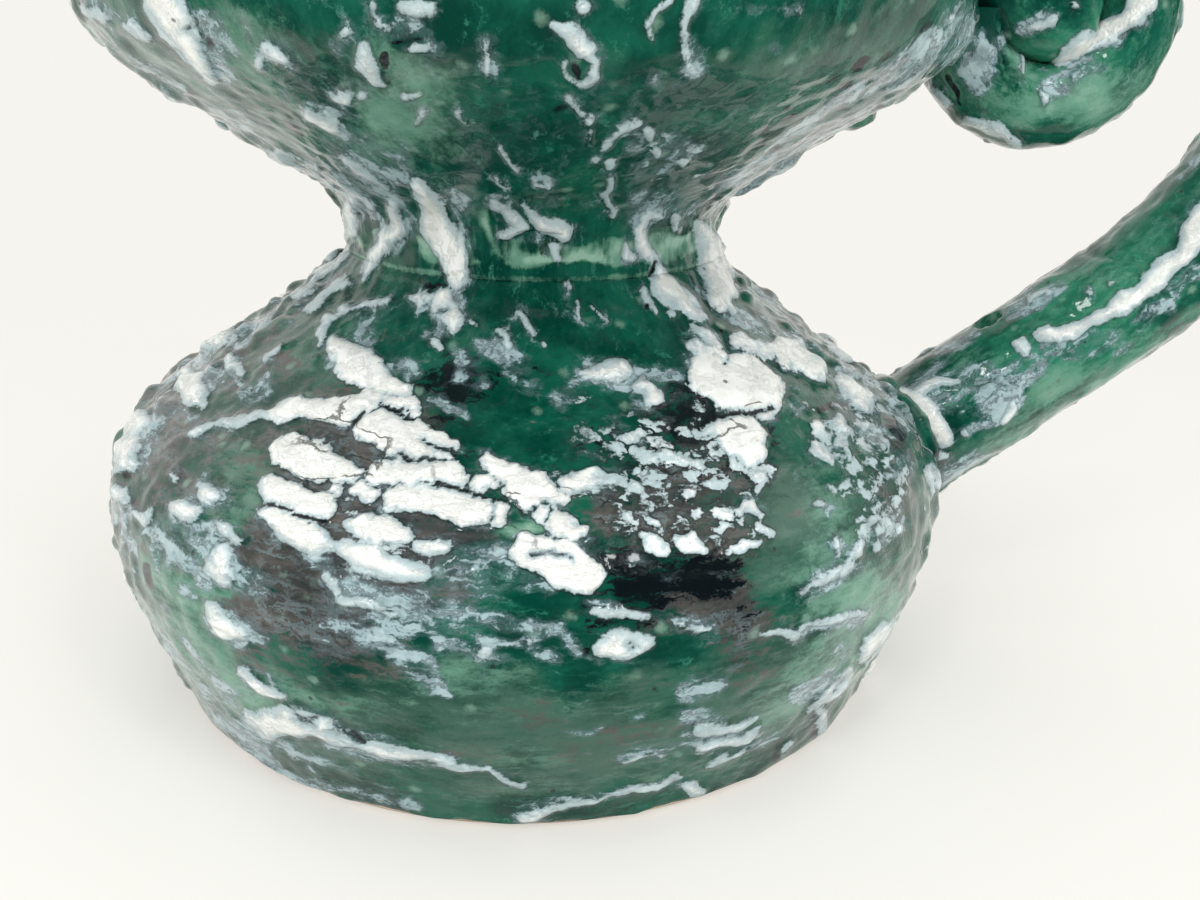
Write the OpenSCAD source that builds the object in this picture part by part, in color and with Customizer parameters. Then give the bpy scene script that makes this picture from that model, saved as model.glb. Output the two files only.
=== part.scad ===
// Stoneware puzzle jug: a squat thrown belly, a pinched waist, a wide upper bowl and a pierced gallery.
// The drink leaves by a hidden way: up the hollow handle, round the hollow rim and out of a spout.
// Heights are measured from the floor, and radii from the upright axis of the jug.

/* [Base slab] */
// Radius of the flat slab that the jug stands on
foot_r = 92.5; // [82:0.5:98]
// Thickness of the base slab
slab_t = 8; // [5:0.5:12]
// Bevel round the lower edge of the slab
slab_bevel = 1.5; // [0.5:0.1:3]

/* [Body wall] */
// Thickness of the thrown wall
wall = 6; // [4:0.5:8]

/* [Belly] */
// Largest radius of the belly
belly_r = 105; // [100:0.5:112]
// Height of the widest line of the belly
belly_z = 48; // [42:0.5:54]
// Radius of the turn from the side of the belly to its sloping top
belly_turn = 26; // [20:0.5:30]

/* [Waist] */
// Radius of the waist at its narrowest
waist_r = 45.5; // [40:0.5:54]
// Height of the narrowest line
waist_z = 110; // [102:0.5:118]
// Radius of the hollow turn at the waist
waist_turn = 13; // [10:0.5:16]
// Angle that the waist collar covers to each side of the narrowest line
collar_angle = 23; // [15:1:32]
// Depth of the line scored round each edge of the collar
score_depth = 0.8; // [0.4:0.1:1.5]

/* [Upper bowl] */
// Largest radius of the upper bowl
bowl_r = 99; // [92:0.5:106]
// Height of the widest line of the bowl
bowl_z = 163; // [154:0.5:172]
// Radius of the turn at the edge of the bowl
bowl_turn = 20; // [15:0.5:26]

/* [Pierced gallery] */
// Height from the bowl's edge to the middle of the hollow rim
gallery_h = 64; // [54:0.5:74]
// Lean of the gallery wall towards the axis, in degrees
gallery_lean = 18; // [10:1:22]
// Number of almond windows round the gallery
window_count = 10; // [6:1:12]
// Width of an almond window
window_w = 20; // [14:0.5:26]
// Height of an almond window
window_h = 34; // [24:0.5:38]
// Radius of the round eyelets between the windows
eyelet_r = 4; // [2.5:0.5:5]
// Height between the two eyelets of a pair
eyelet_pitch = 22; // [14:0.5:28]

/* [Hollow rim] */
// Outer radius of the rim tube
rim_tube_r = 13; // [11.5:0.5:16]
// Wall of the rim tube
rim_wall = 4; // [3:0.25:5]
// Height of the cap's seam above the middle of the rim tube
rim_seam = 5.5; // [5:0.25:7]

/* [Spouts] */
// Length of a spout, measured from the outside of the rim
spout_len = 24; // [16:0.5:32]
// Radius of a spout where it leaves the rim
spout_root_r = 10; // [8.5:0.25:11]
// Radius of the neck of a spout
spout_neck_r = 7; // [6:0.25:8]
// Radius of the bead round the mouth of a spout
spout_bead = 2; // [1:0.25:2.5]
// Radius of the bore of a spout
spout_bore_r = 4; // [3:0.25:4.5]

/* [Hollow handle] */
// Outer radius of the handle tube
handle_r = 16.5; // [15:0.25:18]
// Wall of the handle tube
handle_wall = 6.5; // [5.5:0.25:7.5]
// Radius of the handle where it runs into the rim
nose_r = 11; // [10:0.25:11.5]
// Straight length of that narrow end
nose_land = 8; // [5:0.5:12]
// Height at which the handle's middle line leaves the belly
handle_root_z = 54; // [46:0.5:60]
// Rise of the handle where it leaves the belly, in degrees
handle_rise = 36.5; // [30:0.5:42]
// Reach of the handle's middle line beyond the scroll, with room for fingers between
handle_reach = 37; // [30:0.5:50]
// Radius of the long sweep above the root
sweep_turn = 150; // [110:1:170]
// Rise of the handle at the end of that sweep, in degrees
sweep_rise = 52; // [46:1:58]
// Radius of the turn that brings the handle upright
knee_turn = 62; // [50:1:70]
// Upright length between the knee and the top turn
handle_post = 18; // [5:0.5:30]
// Radius of the suction hole under the top of the handle
suction_r = 2.5; // [2:0.25:4]

/* [Luting coils] */
// Radius of the coil of clay round the handle's root
root_coil_r = 5; // [4:0.25:7]
// Tilt of the root coil, in degrees from upright
root_coil_tilt = 10; // [4:1:16]
// Radius of the coil of clay where the handle meets the rim
rim_coil_r = 4; // [3:0.25:5]

/* [Scroll] */
// Radius of the scroll's coil of clay
scroll_r = 10.4; // [8:0.1:10.8]
// Radius of the scroll's outer turn, along the middle of the coil
scroll_turn = 21.6; // [19:0.1:24]
// Depth to which the scroll is pressed on to the bowl
scroll_bite = 7; // [4:0.25:9]

/* [Hidden] */
$fn = 96;
overrun = 1;
arc_steps = 10;

// A run of points along an arc
function arc(centre, r, from, to) =
    [for (i = [0:arc_steps]) let (a = from + (to - from) * i / arc_steps) centre + r * [cos(a), sin(a)]];

// A list in the other order
function backwards(list) = [for (i = [1:len(list)]) list[len(list) - i]];

// Angle at which a crossed tangent leaves a circle for another one, on the given side
function tangent_angle(c, r, other_c, other_r, side) =
    let (way = other_c - c) atan2(way.y, way.x) + side * acos((r + other_r) / norm(way));

// Middle and end of a left turn that starts at p with one heading and ends with another
function turn_centre(p, turn, heading) = p + turn * [-sin(heading), cos(heading)];
function turn_end(p, turn, from, to) = p + turn * [sin(to) - sin(from), cos(from) - cos(to)];
function ahead(p, heading, length) = p + length * [cos(heading), sin(heading)];

// Circles that the wall's profile rolls round
side_turn = (pow(belly_z - slab_t, 2) + pow(belly_r - foot_r, 2)) / (2 * (belly_r - foot_r));
side_c = [belly_r - side_turn, belly_z];
side_from = -asin((belly_z - slab_t) / side_turn);
belly_c = [belly_r - belly_turn, belly_z];
waist_c = [waist_r + waist_turn, waist_z];
bowl_c = [bowl_r - bowl_turn, bowl_z];
belly_to = tangent_angle(belly_c, belly_turn, waist_c, waist_turn, -1);
bowl_from = tangent_angle(bowl_c, bowl_turn, waist_c, waist_turn, 1);
waist_from = belly_to + 180;
waist_to = bowl_from + 180;
collar_from = 180 + collar_angle;
collar_to = 180 - collar_angle;
score_angle = atan(score_depth / waist_turn);

// Wall profiles of the thrown pieces, set in from the outside by a depth
function belly_line(depth) = concat(
    arc(side_c, side_turn - depth, side_from, 0),
    arc(belly_c, belly_turn - depth, 0, belly_to),
    arc(waist_c, waist_turn + depth, waist_from, collar_from + (depth == 0 ? score_angle : 0)));
function collar_line(depth) =
    arc(waist_c, waist_turn + depth, collar_from, collar_to);
function bowl_line(depth) = concat(
    arc(waist_c, waist_turn + depth, collar_to - (depth == 0 ? score_angle : 0), waist_to),
    arc(bowl_c, bowl_turn - depth, bowl_from, gallery_lean));

// The scored line runs along the seams of the collar
lower_score = waist_c + (waist_turn + score_depth) * [cos(collar_from), sin(collar_from)];
upper_score = waist_c + (waist_turn + score_depth) * [cos(collar_to), sin(collar_to)];

// Gallery wall and the middle of the hollow rim
gallery_foot = bowl_c + bowl_turn * [cos(gallery_lean), sin(gallery_lean)];
gallery_way = gallery_h * [-tan(gallery_lean), 1];
wall_in = -wall * [cos(gallery_lean), sin(gallery_lean)];
rim_c = gallery_foot + wall_in / 2 + gallery_way;
rim_r = rim_c.x;
rim_z = rim_c.y;
rim_out = rim_r + rim_tube_r;
window_mid_share = 0.42;
window_z = gallery_foot.y + window_mid_share * gallery_h;
almond_r = (pow(window_w, 2) + pow(window_h, 2)) / (4 * window_w);

// Scroll turns, and how far out the scroll comes
scroll_c = [bowl_r + scroll_turn + scroll_r - scroll_bite, bowl_z];
scroll_out = scroll_c.x + scroll_turn + scroll_r;
curl_turn = scroll_turn / 2;
curl_c = scroll_c + [0, curl_turn];

// Handle path in the upright plane of the handle, from the belly to the rim
handle_x = scroll_out + handle_reach;
handle_bore = handle_r - handle_wall;
duct_r = nose_r - handle_wall;
handle_sink = 2 * handle_r;
root_p = [belly_r, handle_root_z];
handle_run = (handle_x - belly_r - sweep_turn * (sin(sweep_rise) - sin(handle_rise))
    - knee_turn * (1 - sin(sweep_rise))) / cos(handle_rise);
start_p = ahead(root_p, handle_rise, -handle_sink);
sweep_p = ahead(root_p, handle_rise, handle_run);
knee_p = turn_end(sweep_p, sweep_turn, handle_rise, sweep_rise);
post_p = turn_end(knee_p, knee_turn, sweep_rise, 90);
top_p = ahead(post_p, 90, handle_post);
top_turn = rim_z - top_p.y;
nose_p = turn_end(top_p, top_turn, 90, 180);
taper_len = nose_p.x - rim_out - nose_land;
land_p = ahead(nose_p, 180, taper_len);
land_len = land_p.x - rim_r;
suction_share = 0.3;

// Each length of the handle is drawn a little slimmer than the one before, and laps into its end
handle_draw = 0.1;
handle_lap = 0.5;
function drawn_r(length) = handle_r - length * handle_draw;

// Luting coils sit where the handle meets the belly and the rim, pressed into the corner
coil_set_share = 0.25;
root_coil_c = ahead(root_p, handle_rise, -root_coil_r);
root_coil_turn = handle_r + coil_set_share * root_coil_r;
rim_coil_x = rim_out - 2 * coil_set_share * rim_coil_r;
rim_coil_turn = nose_r + coil_set_share * rim_coil_r;

// A straight round bar in the plane of the handle
module bar(from, heading, length, r) {
    translate([from.x, 0, from.y])
        rotate([0, 90 - heading, 0])
            cylinder(h = length, r = r);
}

// A straight length of the hollow handle
module pipe(from, heading, length, r) {
    translate([from.x, 0, from.y])
        rotate([0, 90 - heading, 0])
            rotate_extrude()
                translate([r - handle_wall, 0])
                    square([handle_wall, length]);
}

// A bent length of the hollow handle, which starts with one heading and ends with another
module pipe_bend(start, turn, from, to, r) {
    lap = handle_lap / turn * 180 / PI;
    bend(turn_centre(start, turn, from), turn, from - lap - 90, to - 90)
        difference() {
            circle(r = r);
            circle(r = r - handle_wall);
        }
}

// A flat shape swept round in the plane of the handle, between two angles about a middle
module bend(centre, turn, from, to) {
    translate([centre.x, 0, centre.y])
        rotate([90, 0, 0])
            rotate([0, 0, from])
                rotate_extrude(angle = to - from)
                    translate([turn, 0])
                        children();
}

// A ring of round section
module ring(major, minor) {
    rotate_extrude()
        translate([major, 0])
            circle(r = minor);
}

// Everything inside the outer face of the thrown body, for cutting what is luted to it
module body_outer() {
    rotate_extrude()
        polygon(concat([[0, 0], [foot_r, 0]], belly_line(0), collar_line(0), bowl_line(0),
            [gallery_foot + gallery_way, [0, rim_z]]));
}

// Everything inside the outer face of the hollow rim
module rim_outer() {
    translate([0, 0, rim_z])
        ring(rim_r, rim_tube_r);
}

// The handle's root as a solid bar, from inside the belly to the start of the long sweep
module root_bar() {
    bar(start_p, handle_rise, handle_sink + handle_run, handle_r);
}

// An outline with two pointed ends and bowed sides
module almond() {
    intersection_for (side = [-1, 1])
        translate([side * (almond_r - window_w / 2), 0])
            circle(r = almond_r);
}

// A cut from the axis side straight out through the gallery wall
module piercing(angle, z) {
    rotate([0, 0, angle])
        translate([waist_r, 0, z])
            rotate([90, 0, 90])
                linear_extrude(height = bowl_r + overrun - waist_r)
                    children();
}

// One way out of the hollow rim, level and square to it
module rim_port(angle, r) {
    translate([0, 0, rim_z])
        rotate([0, 90, angle])
            translate([0, 0, rim_r])
                cylinder(h = rim_tube_r + overrun, r = r);
}

// A spout: flared root, straight neck, beaded mouth and a bore right through
module spout(angle) {
    flare = spout_root_r - spout_neck_r;
    root_y = rim_tube_r;
    mouth_y = rim_tube_r + spout_len;
    color("mediumseagreen")
        difference() {
            translate([0, 0, rim_z])
                rotate([0, 90, angle])
                    translate([0, 0, rim_r])
                        rotate_extrude()
                            polygon(concat(
                                [[spout_bore_r, 0], [spout_root_r, 0]],
                                arc([spout_root_r, root_y + flare], flare, 270, 180),
                                arc([spout_neck_r, mouth_y - spout_bead], spout_bead, -90, 90),
                                [[spout_bore_r, mouth_y]]));
            rim_outer();
        }
}

module base_slab() {
    color("seagreen")
        rotate_extrude()
            polygon([[0, 0], [foot_r - slab_bevel, 0], [foot_r, slab_bevel], [foot_r, slab_t], [0, slab_t]]);
}

module belly() {
    inside = belly_line(wall);
    color("darkslategray")
        difference() {
            rotate_extrude()
                polygon(concat(belly_line(0), [lower_score], backwards(inside), [[inside[0].x, slab_t]]));
            bar(start_p, handle_rise, 2 * handle_sink, handle_bore);
        }
}

module waist_collar() {
    color("darkseagreen")
        rotate_extrude()
            polygon(concat(
                [lower_score],
                arc(waist_c, waist_turn, collar_from - score_angle, collar_to + score_angle),
                [upper_score],
                backwards(collar_line(wall))));
}

module upper_bowl() {
    color("seagreen")
        rotate_extrude()
            polygon(concat([upper_score], bowl_line(0), backwards(bowl_line(wall))));
}

module pierced_gallery() {
    step = 360 / window_count;
    color("mediumseagreen")
        difference() {
            rotate_extrude()
                polygon([gallery_foot, gallery_foot + gallery_way, gallery_foot + gallery_way + wall_in,
                    gallery_foot + wall_in]);
            rim_outer();
            for (i = [0:window_count - 1]) {
                piercing((i + 1 / 2) * step, window_z)
                    almond();
                for (side = [-1, 1])
                    piercing(i * step, window_z + side * eyelet_pitch / 2)
                        circle(r = eyelet_r);
            }
        }
}

module rim_trough() {
    color("seagreen")
        difference() {
            rotate_extrude()
                translate(rim_c)
                    difference() {
                        circle(r = rim_tube_r);
                        circle(r = rim_tube_r - rim_wall);
                        translate([-rim_tube_r - overrun, rim_seam])
                            square([2 * (rim_tube_r + overrun), rim_tube_r]);
                    }
            for (angle = [90, 180, 270])
                rim_port(angle, spout_bore_r);
            rim_port(0, duct_r);
        }
}

module rim_cap() {
    color("darkseagreen")
        rotate_extrude()
            translate(rim_c)
                intersection() {
                    difference() {
                        circle(r = rim_tube_r);
                        circle(r = rim_tube_r - rim_wall);
                    }
                    translate([-rim_tube_r - overrun, rim_seam])
                        square([2 * (rim_tube_r + overrun), rim_tube_r]);
                }
}

module handle_tube() {
    color("seagreen") {
        difference() {
            pipe(start_p, handle_rise, handle_sink + handle_run, drawn_r(0));
            body_outer();
        }
        pipe_bend(sweep_p, sweep_turn, handle_rise, sweep_rise, drawn_r(1));
        pipe_bend(knee_p, knee_turn, sweep_rise, 90, drawn_r(2));
        pipe(ahead(post_p, 90, -handle_lap), 90, handle_post + handle_lap, drawn_r(3));
        pipe_bend(top_p, top_turn, 90, 180, drawn_r(4));
        handle_nose(drawn_r(5));
    }
}

// The last length of the handle, which narrows to fit the rim and holds the suction hole
module handle_nose(r) {
    bore = r - handle_wall;
    difference() {
        translate([nose_p.x, 0, nose_p.y])
            rotate([0, -90, 0])
                rotate_extrude()
                    polygon([[bore, -handle_lap], [r, -handle_lap], [r, 0], [nose_r, taper_len],
                        [nose_r, taper_len + land_len], [duct_r, taper_len + land_len], [duct_r, taper_len],
                        [bore, 0]]);
        bar(ahead(nose_p, 180, taper_len * suction_share), -90, handle_r + overrun, suction_r);
        rim_outer();
    }
}

module handle_root_coil() {
    color("white")
        difference() {
            translate([root_coil_c.x, 0, root_coil_c.y])
                rotate([0, 90 - root_coil_tilt, 0])
                    ring(root_coil_turn, root_coil_r);
            root_bar();
            body_outer();
        }
}

module handle_rim_coil() {
    color("white")
        difference() {
            translate([rim_coil_x, 0, rim_z])
                rotate([0, 90, 0])
                    ring(rim_coil_turn, rim_coil_r);
            bar(land_p, 180, land_len, nose_r);
            rim_outer();
            body_outer();
        }
}

module scroll() {
    color("lightseagreen")
        difference() {
            union() {
                bend(scroll_c, scroll_turn, 180, 450)
                    circle(r = scroll_r);
                bend(curl_c, curl_turn, 90, 270)
                    circle(r = scroll_r);
                translate([scroll_c.x - scroll_turn, 0, scroll_c.y])
                    sphere(r = scroll_r);
                translate([scroll_c.x, 0, scroll_c.y])
                    sphere(r = scroll_r);
            }
            body_outer();
        }
}

base_slab();
belly();
waist_collar();
upper_bowl();
pierced_gallery();
rim_trough();
rim_cap();
spout(180);  // spout_left
spout(270);  // spout_front
spout(90);  // spout_back
handle_tube();
handle_root_coil();
handle_rim_coil();
scroll();
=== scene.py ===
# %% [markdown]
# # A puzzle jug under a curdled glaze
#
# This lesson dresses a stoneware puzzle jug: a squat belly, a pinched waist and a wide bowl, and above
# them the pierced gallery, the hollow rim and the three spouts that make it a puzzle. The clay forms are
# plain turned and swept shapes. What makes the jug is its glaze: a thick, glossy emerald that crawled in
# the kiln and left raised white curds with a bluish veil round them, dark breaks, cracks and pits.
# Lengths are in millimetres here, and become metres only when a mesh is made.

# %% Load the frame and keep its box
import math
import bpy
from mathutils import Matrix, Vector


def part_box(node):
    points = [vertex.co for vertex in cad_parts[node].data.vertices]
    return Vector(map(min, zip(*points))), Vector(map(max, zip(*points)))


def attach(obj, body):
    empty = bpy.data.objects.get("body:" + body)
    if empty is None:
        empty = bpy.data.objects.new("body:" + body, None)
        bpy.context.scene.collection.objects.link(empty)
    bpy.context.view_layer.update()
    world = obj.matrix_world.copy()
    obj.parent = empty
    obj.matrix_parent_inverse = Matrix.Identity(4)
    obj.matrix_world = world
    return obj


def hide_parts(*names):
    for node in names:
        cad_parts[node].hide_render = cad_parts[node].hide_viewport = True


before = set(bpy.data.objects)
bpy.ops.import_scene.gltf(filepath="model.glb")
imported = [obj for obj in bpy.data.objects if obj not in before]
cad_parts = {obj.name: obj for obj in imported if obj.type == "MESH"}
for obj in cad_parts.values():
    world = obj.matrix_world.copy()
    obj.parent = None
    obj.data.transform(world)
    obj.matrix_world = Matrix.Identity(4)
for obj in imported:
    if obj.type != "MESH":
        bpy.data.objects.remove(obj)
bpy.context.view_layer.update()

from types import SimpleNamespace

import bpy
import numpy as np
from mathutils import Matrix, Vector, noise

MM = 0.001
print("Frame nodes:", ", ".join(sorted(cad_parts)))

# %% [markdown]
# ## The camera
#
# The camera stands close in front of the jug, at about the height of its bowl, and looks down at the
# belly. Its place is kept as an eye point and three angles, because the same figures also turn a place in
# the photograph into a place on the glaze. A matrix made from the three axes sets the camera without
# guesswork.

# %% Camera
photo_w, photo_h = 1200, 900
lens_px = 1053.1
sensor_mm = 36
eye = np.array([0, -269.8, 149.4])
pitch, yaw, roll = np.radians([20.34, 3.907, 1.562])

forward = np.array([math.sin(yaw) * math.cos(pitch), math.cos(yaw) * math.cos(pitch), -math.sin(pitch)])
level = np.array([math.cos(yaw), -math.sin(yaw), 0])
lift = np.cross(level, forward)
right = level * math.cos(roll) + lift * math.sin(roll)
up = lift * math.cos(roll) - level * math.sin(roll)


def to_pixels(points):
    """Column and row of the photograph that each point falls on, and its depth in mm."""
    ray = points - eye
    depth = ray @ forward
    column = photo_w / 2 + lens_px * (ray @ right) / depth
    row = photo_h / 2 - lens_px * (ray @ up) / depth
    return column, row, depth


camera = bpy.data.cameras.new("camera")
camera.sensor_width = sensor_mm
camera.lens = lens_px * sensor_mm / photo_w
camera.clip_start = 10 * MM
view = bpy.data.objects.new("camera", camera)
axes = np.column_stack([right, up, -forward, eye * MM])
view.matrix_world = Matrix([*axes.tolist(), [0, 0, 0, 1]])
bpy.context.scene.collection.objects.link(view)
bpy.context.scene.camera = view
print(f"Camera lens {camera.lens:.2f} mm")

# %% [markdown]
# ## The thrown profile
#
# A thrown pot is a solid of revolution, so its shape is one line: arcs that roll into each other, from
# the foot over the belly, through the waist and out to the bowl. The radii are those of the real clay.
# The line could be drawn as a curve with handles, but arcs that touch are what a potter's rib leaves, and
# they are easy to check against the frame.

# %% Arcs and lines
def arc(centre, radius, start, end, step):
    """Points along an arc, about `step` apart, between two angles in degrees."""
    count = max(2, math.ceil(abs(math.radians(end - start)) * radius / step))
    angle = np.radians(np.linspace(start, end, count + 1))
    return np.array(centre) + radius * np.column_stack([np.cos(angle), np.sin(angle)])


def line(start, end, step):
    """Points along a straight run, about `step` apart."""
    return np.linspace(start, end, max(1, math.ceil(math.dist(start, end) / step)) + 1)


def joined(*runs):
    """Several runs of points as one, with no point twice."""
    points = np.concatenate(runs)
    new = np.linalg.norm(np.diff(points, axis=0), axis=1) > 1e-6
    return points[np.r_[True, new]]


def tangent_angle(centre, radius, other, other_radius, side):
    """Angle at which a crossed tangent leaves a circle for another one."""
    way = np.subtract(other, centre)
    swing = math.acos((radius + other_radius) / np.hypot(*way))
    return math.degrees(math.atan2(way[1], way[0]) + side * swing)


def run_along(points):
    """Length from the first point to each one."""
    return np.r_[0, np.cumsum(np.linalg.norm(np.diff(points, axis=0), axis=1))]


# %% Sizes of the body
foot_r, slab_t = (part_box("base_slab")[1][axis] / MM for axis in (1, 2))
belly_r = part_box("belly")[1][1] / MM
wall = 6
belly_z, belly_turn = 48, 26
waist_r, waist_z, waist_turn = 45.5, 110, 13
collar_angle = 23
bowl_r, bowl_z, bowl_turn = 99, 163, 20
gallery_h, gallery_lean = 64, 18

side_turn = ((belly_z - slab_t) ** 2 + (belly_r - foot_r) ** 2) / (2 * (belly_r - foot_r))
side_c = (belly_r - side_turn, belly_z)
side_from = -math.degrees(math.asin((belly_z - slab_t) / side_turn))
belly_c = (belly_r - belly_turn, belly_z)
waist_c = (waist_r + waist_turn, waist_z)
bowl_c = (bowl_r - bowl_turn, bowl_z)
belly_to = tangent_angle(belly_c, belly_turn, waist_c, waist_turn, -1)
bowl_from = tangent_angle(bowl_c, bowl_turn, waist_c, waist_turn, 1)
collar_from, collar_to = 180 + collar_angle, 180 - collar_angle

lean = math.radians(gallery_lean)
gallery_foot = np.array(bowl_c) + bowl_turn * np.array([math.cos(lean), math.sin(lean)])
gallery_way = gallery_h * np.array([-math.tan(lean), 1])
gallery_out = np.array([math.cos(lean), math.sin(lean)])
rim_c = gallery_foot - wall / 2 * gallery_out + gallery_way
rim_r, rim_z = rim_c
print(f"Rim at radius {rim_r:.1f}, height {rim_z:.1f}; belly turns for {belly_to:.1f} degrees")

# %% Wall lines, set in from the outside by a depth
skin_step = 0.74
plain_step = 6


def linked(first, second, step):
    """Two runs with the straight stretch between them filled in."""
    return joined(first, line(first[-1], second[0], step), second)


def belly_line(depth, step, start=side_from):
    """From the side above the foot, over the shoulder, to the collar."""
    side = arc(side_c, side_turn - depth, start, 0, step)
    shoulder = arc(belly_c, belly_turn - depth, 0, belly_to, step)
    neck = arc(waist_c, waist_turn + depth, belly_to + 180, collar_from, step)
    return linked(joined(side, shoulder), neck, step)


def collar_line(depth, step):
    """Round the hollow of the waist."""
    return arc(waist_c, waist_turn + depth, collar_from, collar_to, step)


def bowl_line(depth, step):
    """From the collar out to the bowl's widest turn, and over it."""
    neck = arc(waist_c, waist_turn + depth, collar_to, bowl_from + 180, step)
    edge = arc(bowl_c, bowl_turn - depth, bowl_from, gallery_lean, step)
    return linked(neck, edge, step)


def gallery_line(depth, top, step):
    """Up the leaning wall of the gallery to a height."""
    foot = gallery_foot - depth * gallery_out
    return line(foot, foot + gallery_way * (top - foot[1]) / gallery_h, step)


outer_line = joined(line((foot_r, 0), (foot_r, slab_t), 1), belly_line(0, 1), collar_line(0, 1),
                    bowl_line(0, 1), gallery_line(0, rim_z, 1))
outer_run = run_along(outer_line)
print(f"The outer line is {outer_run[-1]:.0f} mm long")

# %% [markdown]
# ## Grids of points
#
# Every piece starts as a grid: rows along the form, columns round it. A turned piece spins its line, and
# a pulled or rolled piece runs a ring along a path. The columns lie closer together on the near side,
# because the relief is seen best there. Grids are quick to shift point by point, which is how the glaze
# gets its body.

# %% Turned and swept grids
near_crowding = 0.6


def columns(count, crowding=near_crowding):
    """Angles round the axis, in steps that are smaller on the near side."""
    turn = 2 * np.pi * np.arange(count) / count
    return -np.pi / 2 + turn - crowding * np.sin(turn)


def turned(profile, angle):
    """A grid of points: the profile's (radius, height) points, each taken round the upright axis."""
    r, z = profile[:, :1], profile[:, 1:]
    return np.stack([r * np.cos(angle), r * np.sin(angle), z + 0 * angle], axis=-1)


def swept(path, radii, sides):
    """A grid of rings along a path in the plane of the handle, which is the plane y = 0."""
    path = np.asarray(path, float)
    tangent = np.gradient(path, axis=0)
    tangent /= np.linalg.norm(tangent, axis=1, keepdims=True)
    outward = np.column_stack([tangent[:, 1], 0 * tangent[:, 0], -tangent[:, 0]])
    centre = np.column_stack([path[:, 0], 0 * path[:, 0], path[:, 1]])
    angle = 2 * np.pi * np.arange(sides) / sides
    spoke = outward[:, None] * np.cos(angle)[:, None] + np.array([0, 1, 0]) * np.sin(angle)[:, None]
    return centre[:, None] + np.asarray(radii, float).reshape(-1, 1, 1) * spoke


def outward_of(grid, closed, skin=0):
    """Unit directions out of a grid's surface. A shell's first `skin` rows are taken by themselves."""
    if skin:
        return np.concatenate([outward_of(grid[:skin], False), outward_of(grid[skin:], False)])
    across = np.roll(grid, -1, axis=1) - np.roll(grid, 1, axis=1)
    along = np.roll(grid, -1, axis=0) - np.roll(grid, 1, axis=0) if closed else np.gradient(grid, axis=0)
    out = np.cross(across, along)
    return out / np.maximum(np.linalg.norm(out, axis=-1, keepdims=True), 1e-9)


# %% [markdown]
# ## Where the glaze did what
#
# The finish has a few large features that the eye finds at once: the cluster of white curds on the belly,
# the drips that hang from the bowl over the waist, the black break right of the middle. They are placed
# as strokes in the photograph's pixels: the points that a stroke passes, each with the stroke's
# width there. A stroke is bent by noise before it is used, so it sets the place and the size, and the
# kiln-like edges come from the noise.

# %% White curds on the belly: x, y and width of each point
belly_curds = [
    (338, 348, 18, 356, 364, 36, 380, 384, 32, 404, 390, 12),
    (368, 428, 30, 395, 432, 44, 425, 446, 38, 450, 452, 18),
    (262, 416, 6, 285, 411, 18, 312, 408, 22, 340, 412, 34, 362, 406, 22, 385, 396, 14, 412, 408, 18),
    (378, 472, 22, 410, 472, 28, 445, 474, 30, 466, 486, 16),
    (392, 501, 18, 430, 500, 30, 465, 507, 36, 486, 512, 24),
    (287, 452, 28, 312, 460, 36, 340, 470, 24, 356, 475, 10), (335, 492, 14), (362, 488, 16, 374, 496, 8),
    (275, 490, 28, 300, 502, 28, 324, 508, 24), (268, 512, 10, 290, 530, 28, 318, 542, 30, 330, 545, 12),
    (354, 526, 16, 380, 529, 29, 408, 534, 15), (342, 548, 16, 364, 557, 27, 394, 567, 26, 425, 574, 16),
    (420, 548, 12, 445, 552, 14), (328, 578, 8, 345, 598, 8, 370, 606, 10, 400, 612, 5),
    (490, 462, 14, 512, 478, 28, 530, 495, 38, 560, 500, 12), (475, 490, 16, 495, 485, 14),
    (499, 518, 21), (538, 511, 19), (556, 524, 23, 572, 530, 19, 586, 531, 8),
    (528, 552, 26, 560, 562, 46, 590, 578, 30), (566, 488, 16, 590, 478, 18, 620, 484, 14),
    (585, 378, 10, 600, 372, 18, 622, 368, 16), (640, 385, 14, 652, 402, 14),
    (705, 372, 34, 735, 385, 56, 760, 395, 44), (728, 428, 36, 742, 440, 40, 750, 458, 22),
    (695, 345, 10, 720, 355, 10), (740, 342, 14, 765, 355, 14), (775, 348, 20, 815, 370, 20),
    (640, 470, 9), (665, 455, 9, 700, 470, 9), (735, 462, 9, 760, 482, 9), (760, 490, 10),
    (740, 513, 5, 752, 508, 12, 763, 515, 5), (760, 526, 5, 768, 534, 9),
    (674, 541, 6, 688, 543, 16, 706, 551, 6), (733, 553, 4, 745, 547, 10, 758, 543, 4),
    (643, 522, 4, 654, 527, 9), (638, 541, 4, 650, 547, 11, 668, 554, 5), (685, 490, 11),
    (600, 482, 9, 640, 490, 9), (602, 646, 22, 624, 643, 30, 646, 640, 16),
    (595, 612, 6, 620, 615, 8, 645, 612, 5),
]
print(len(belly_curds), "curds on the belly")

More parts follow.
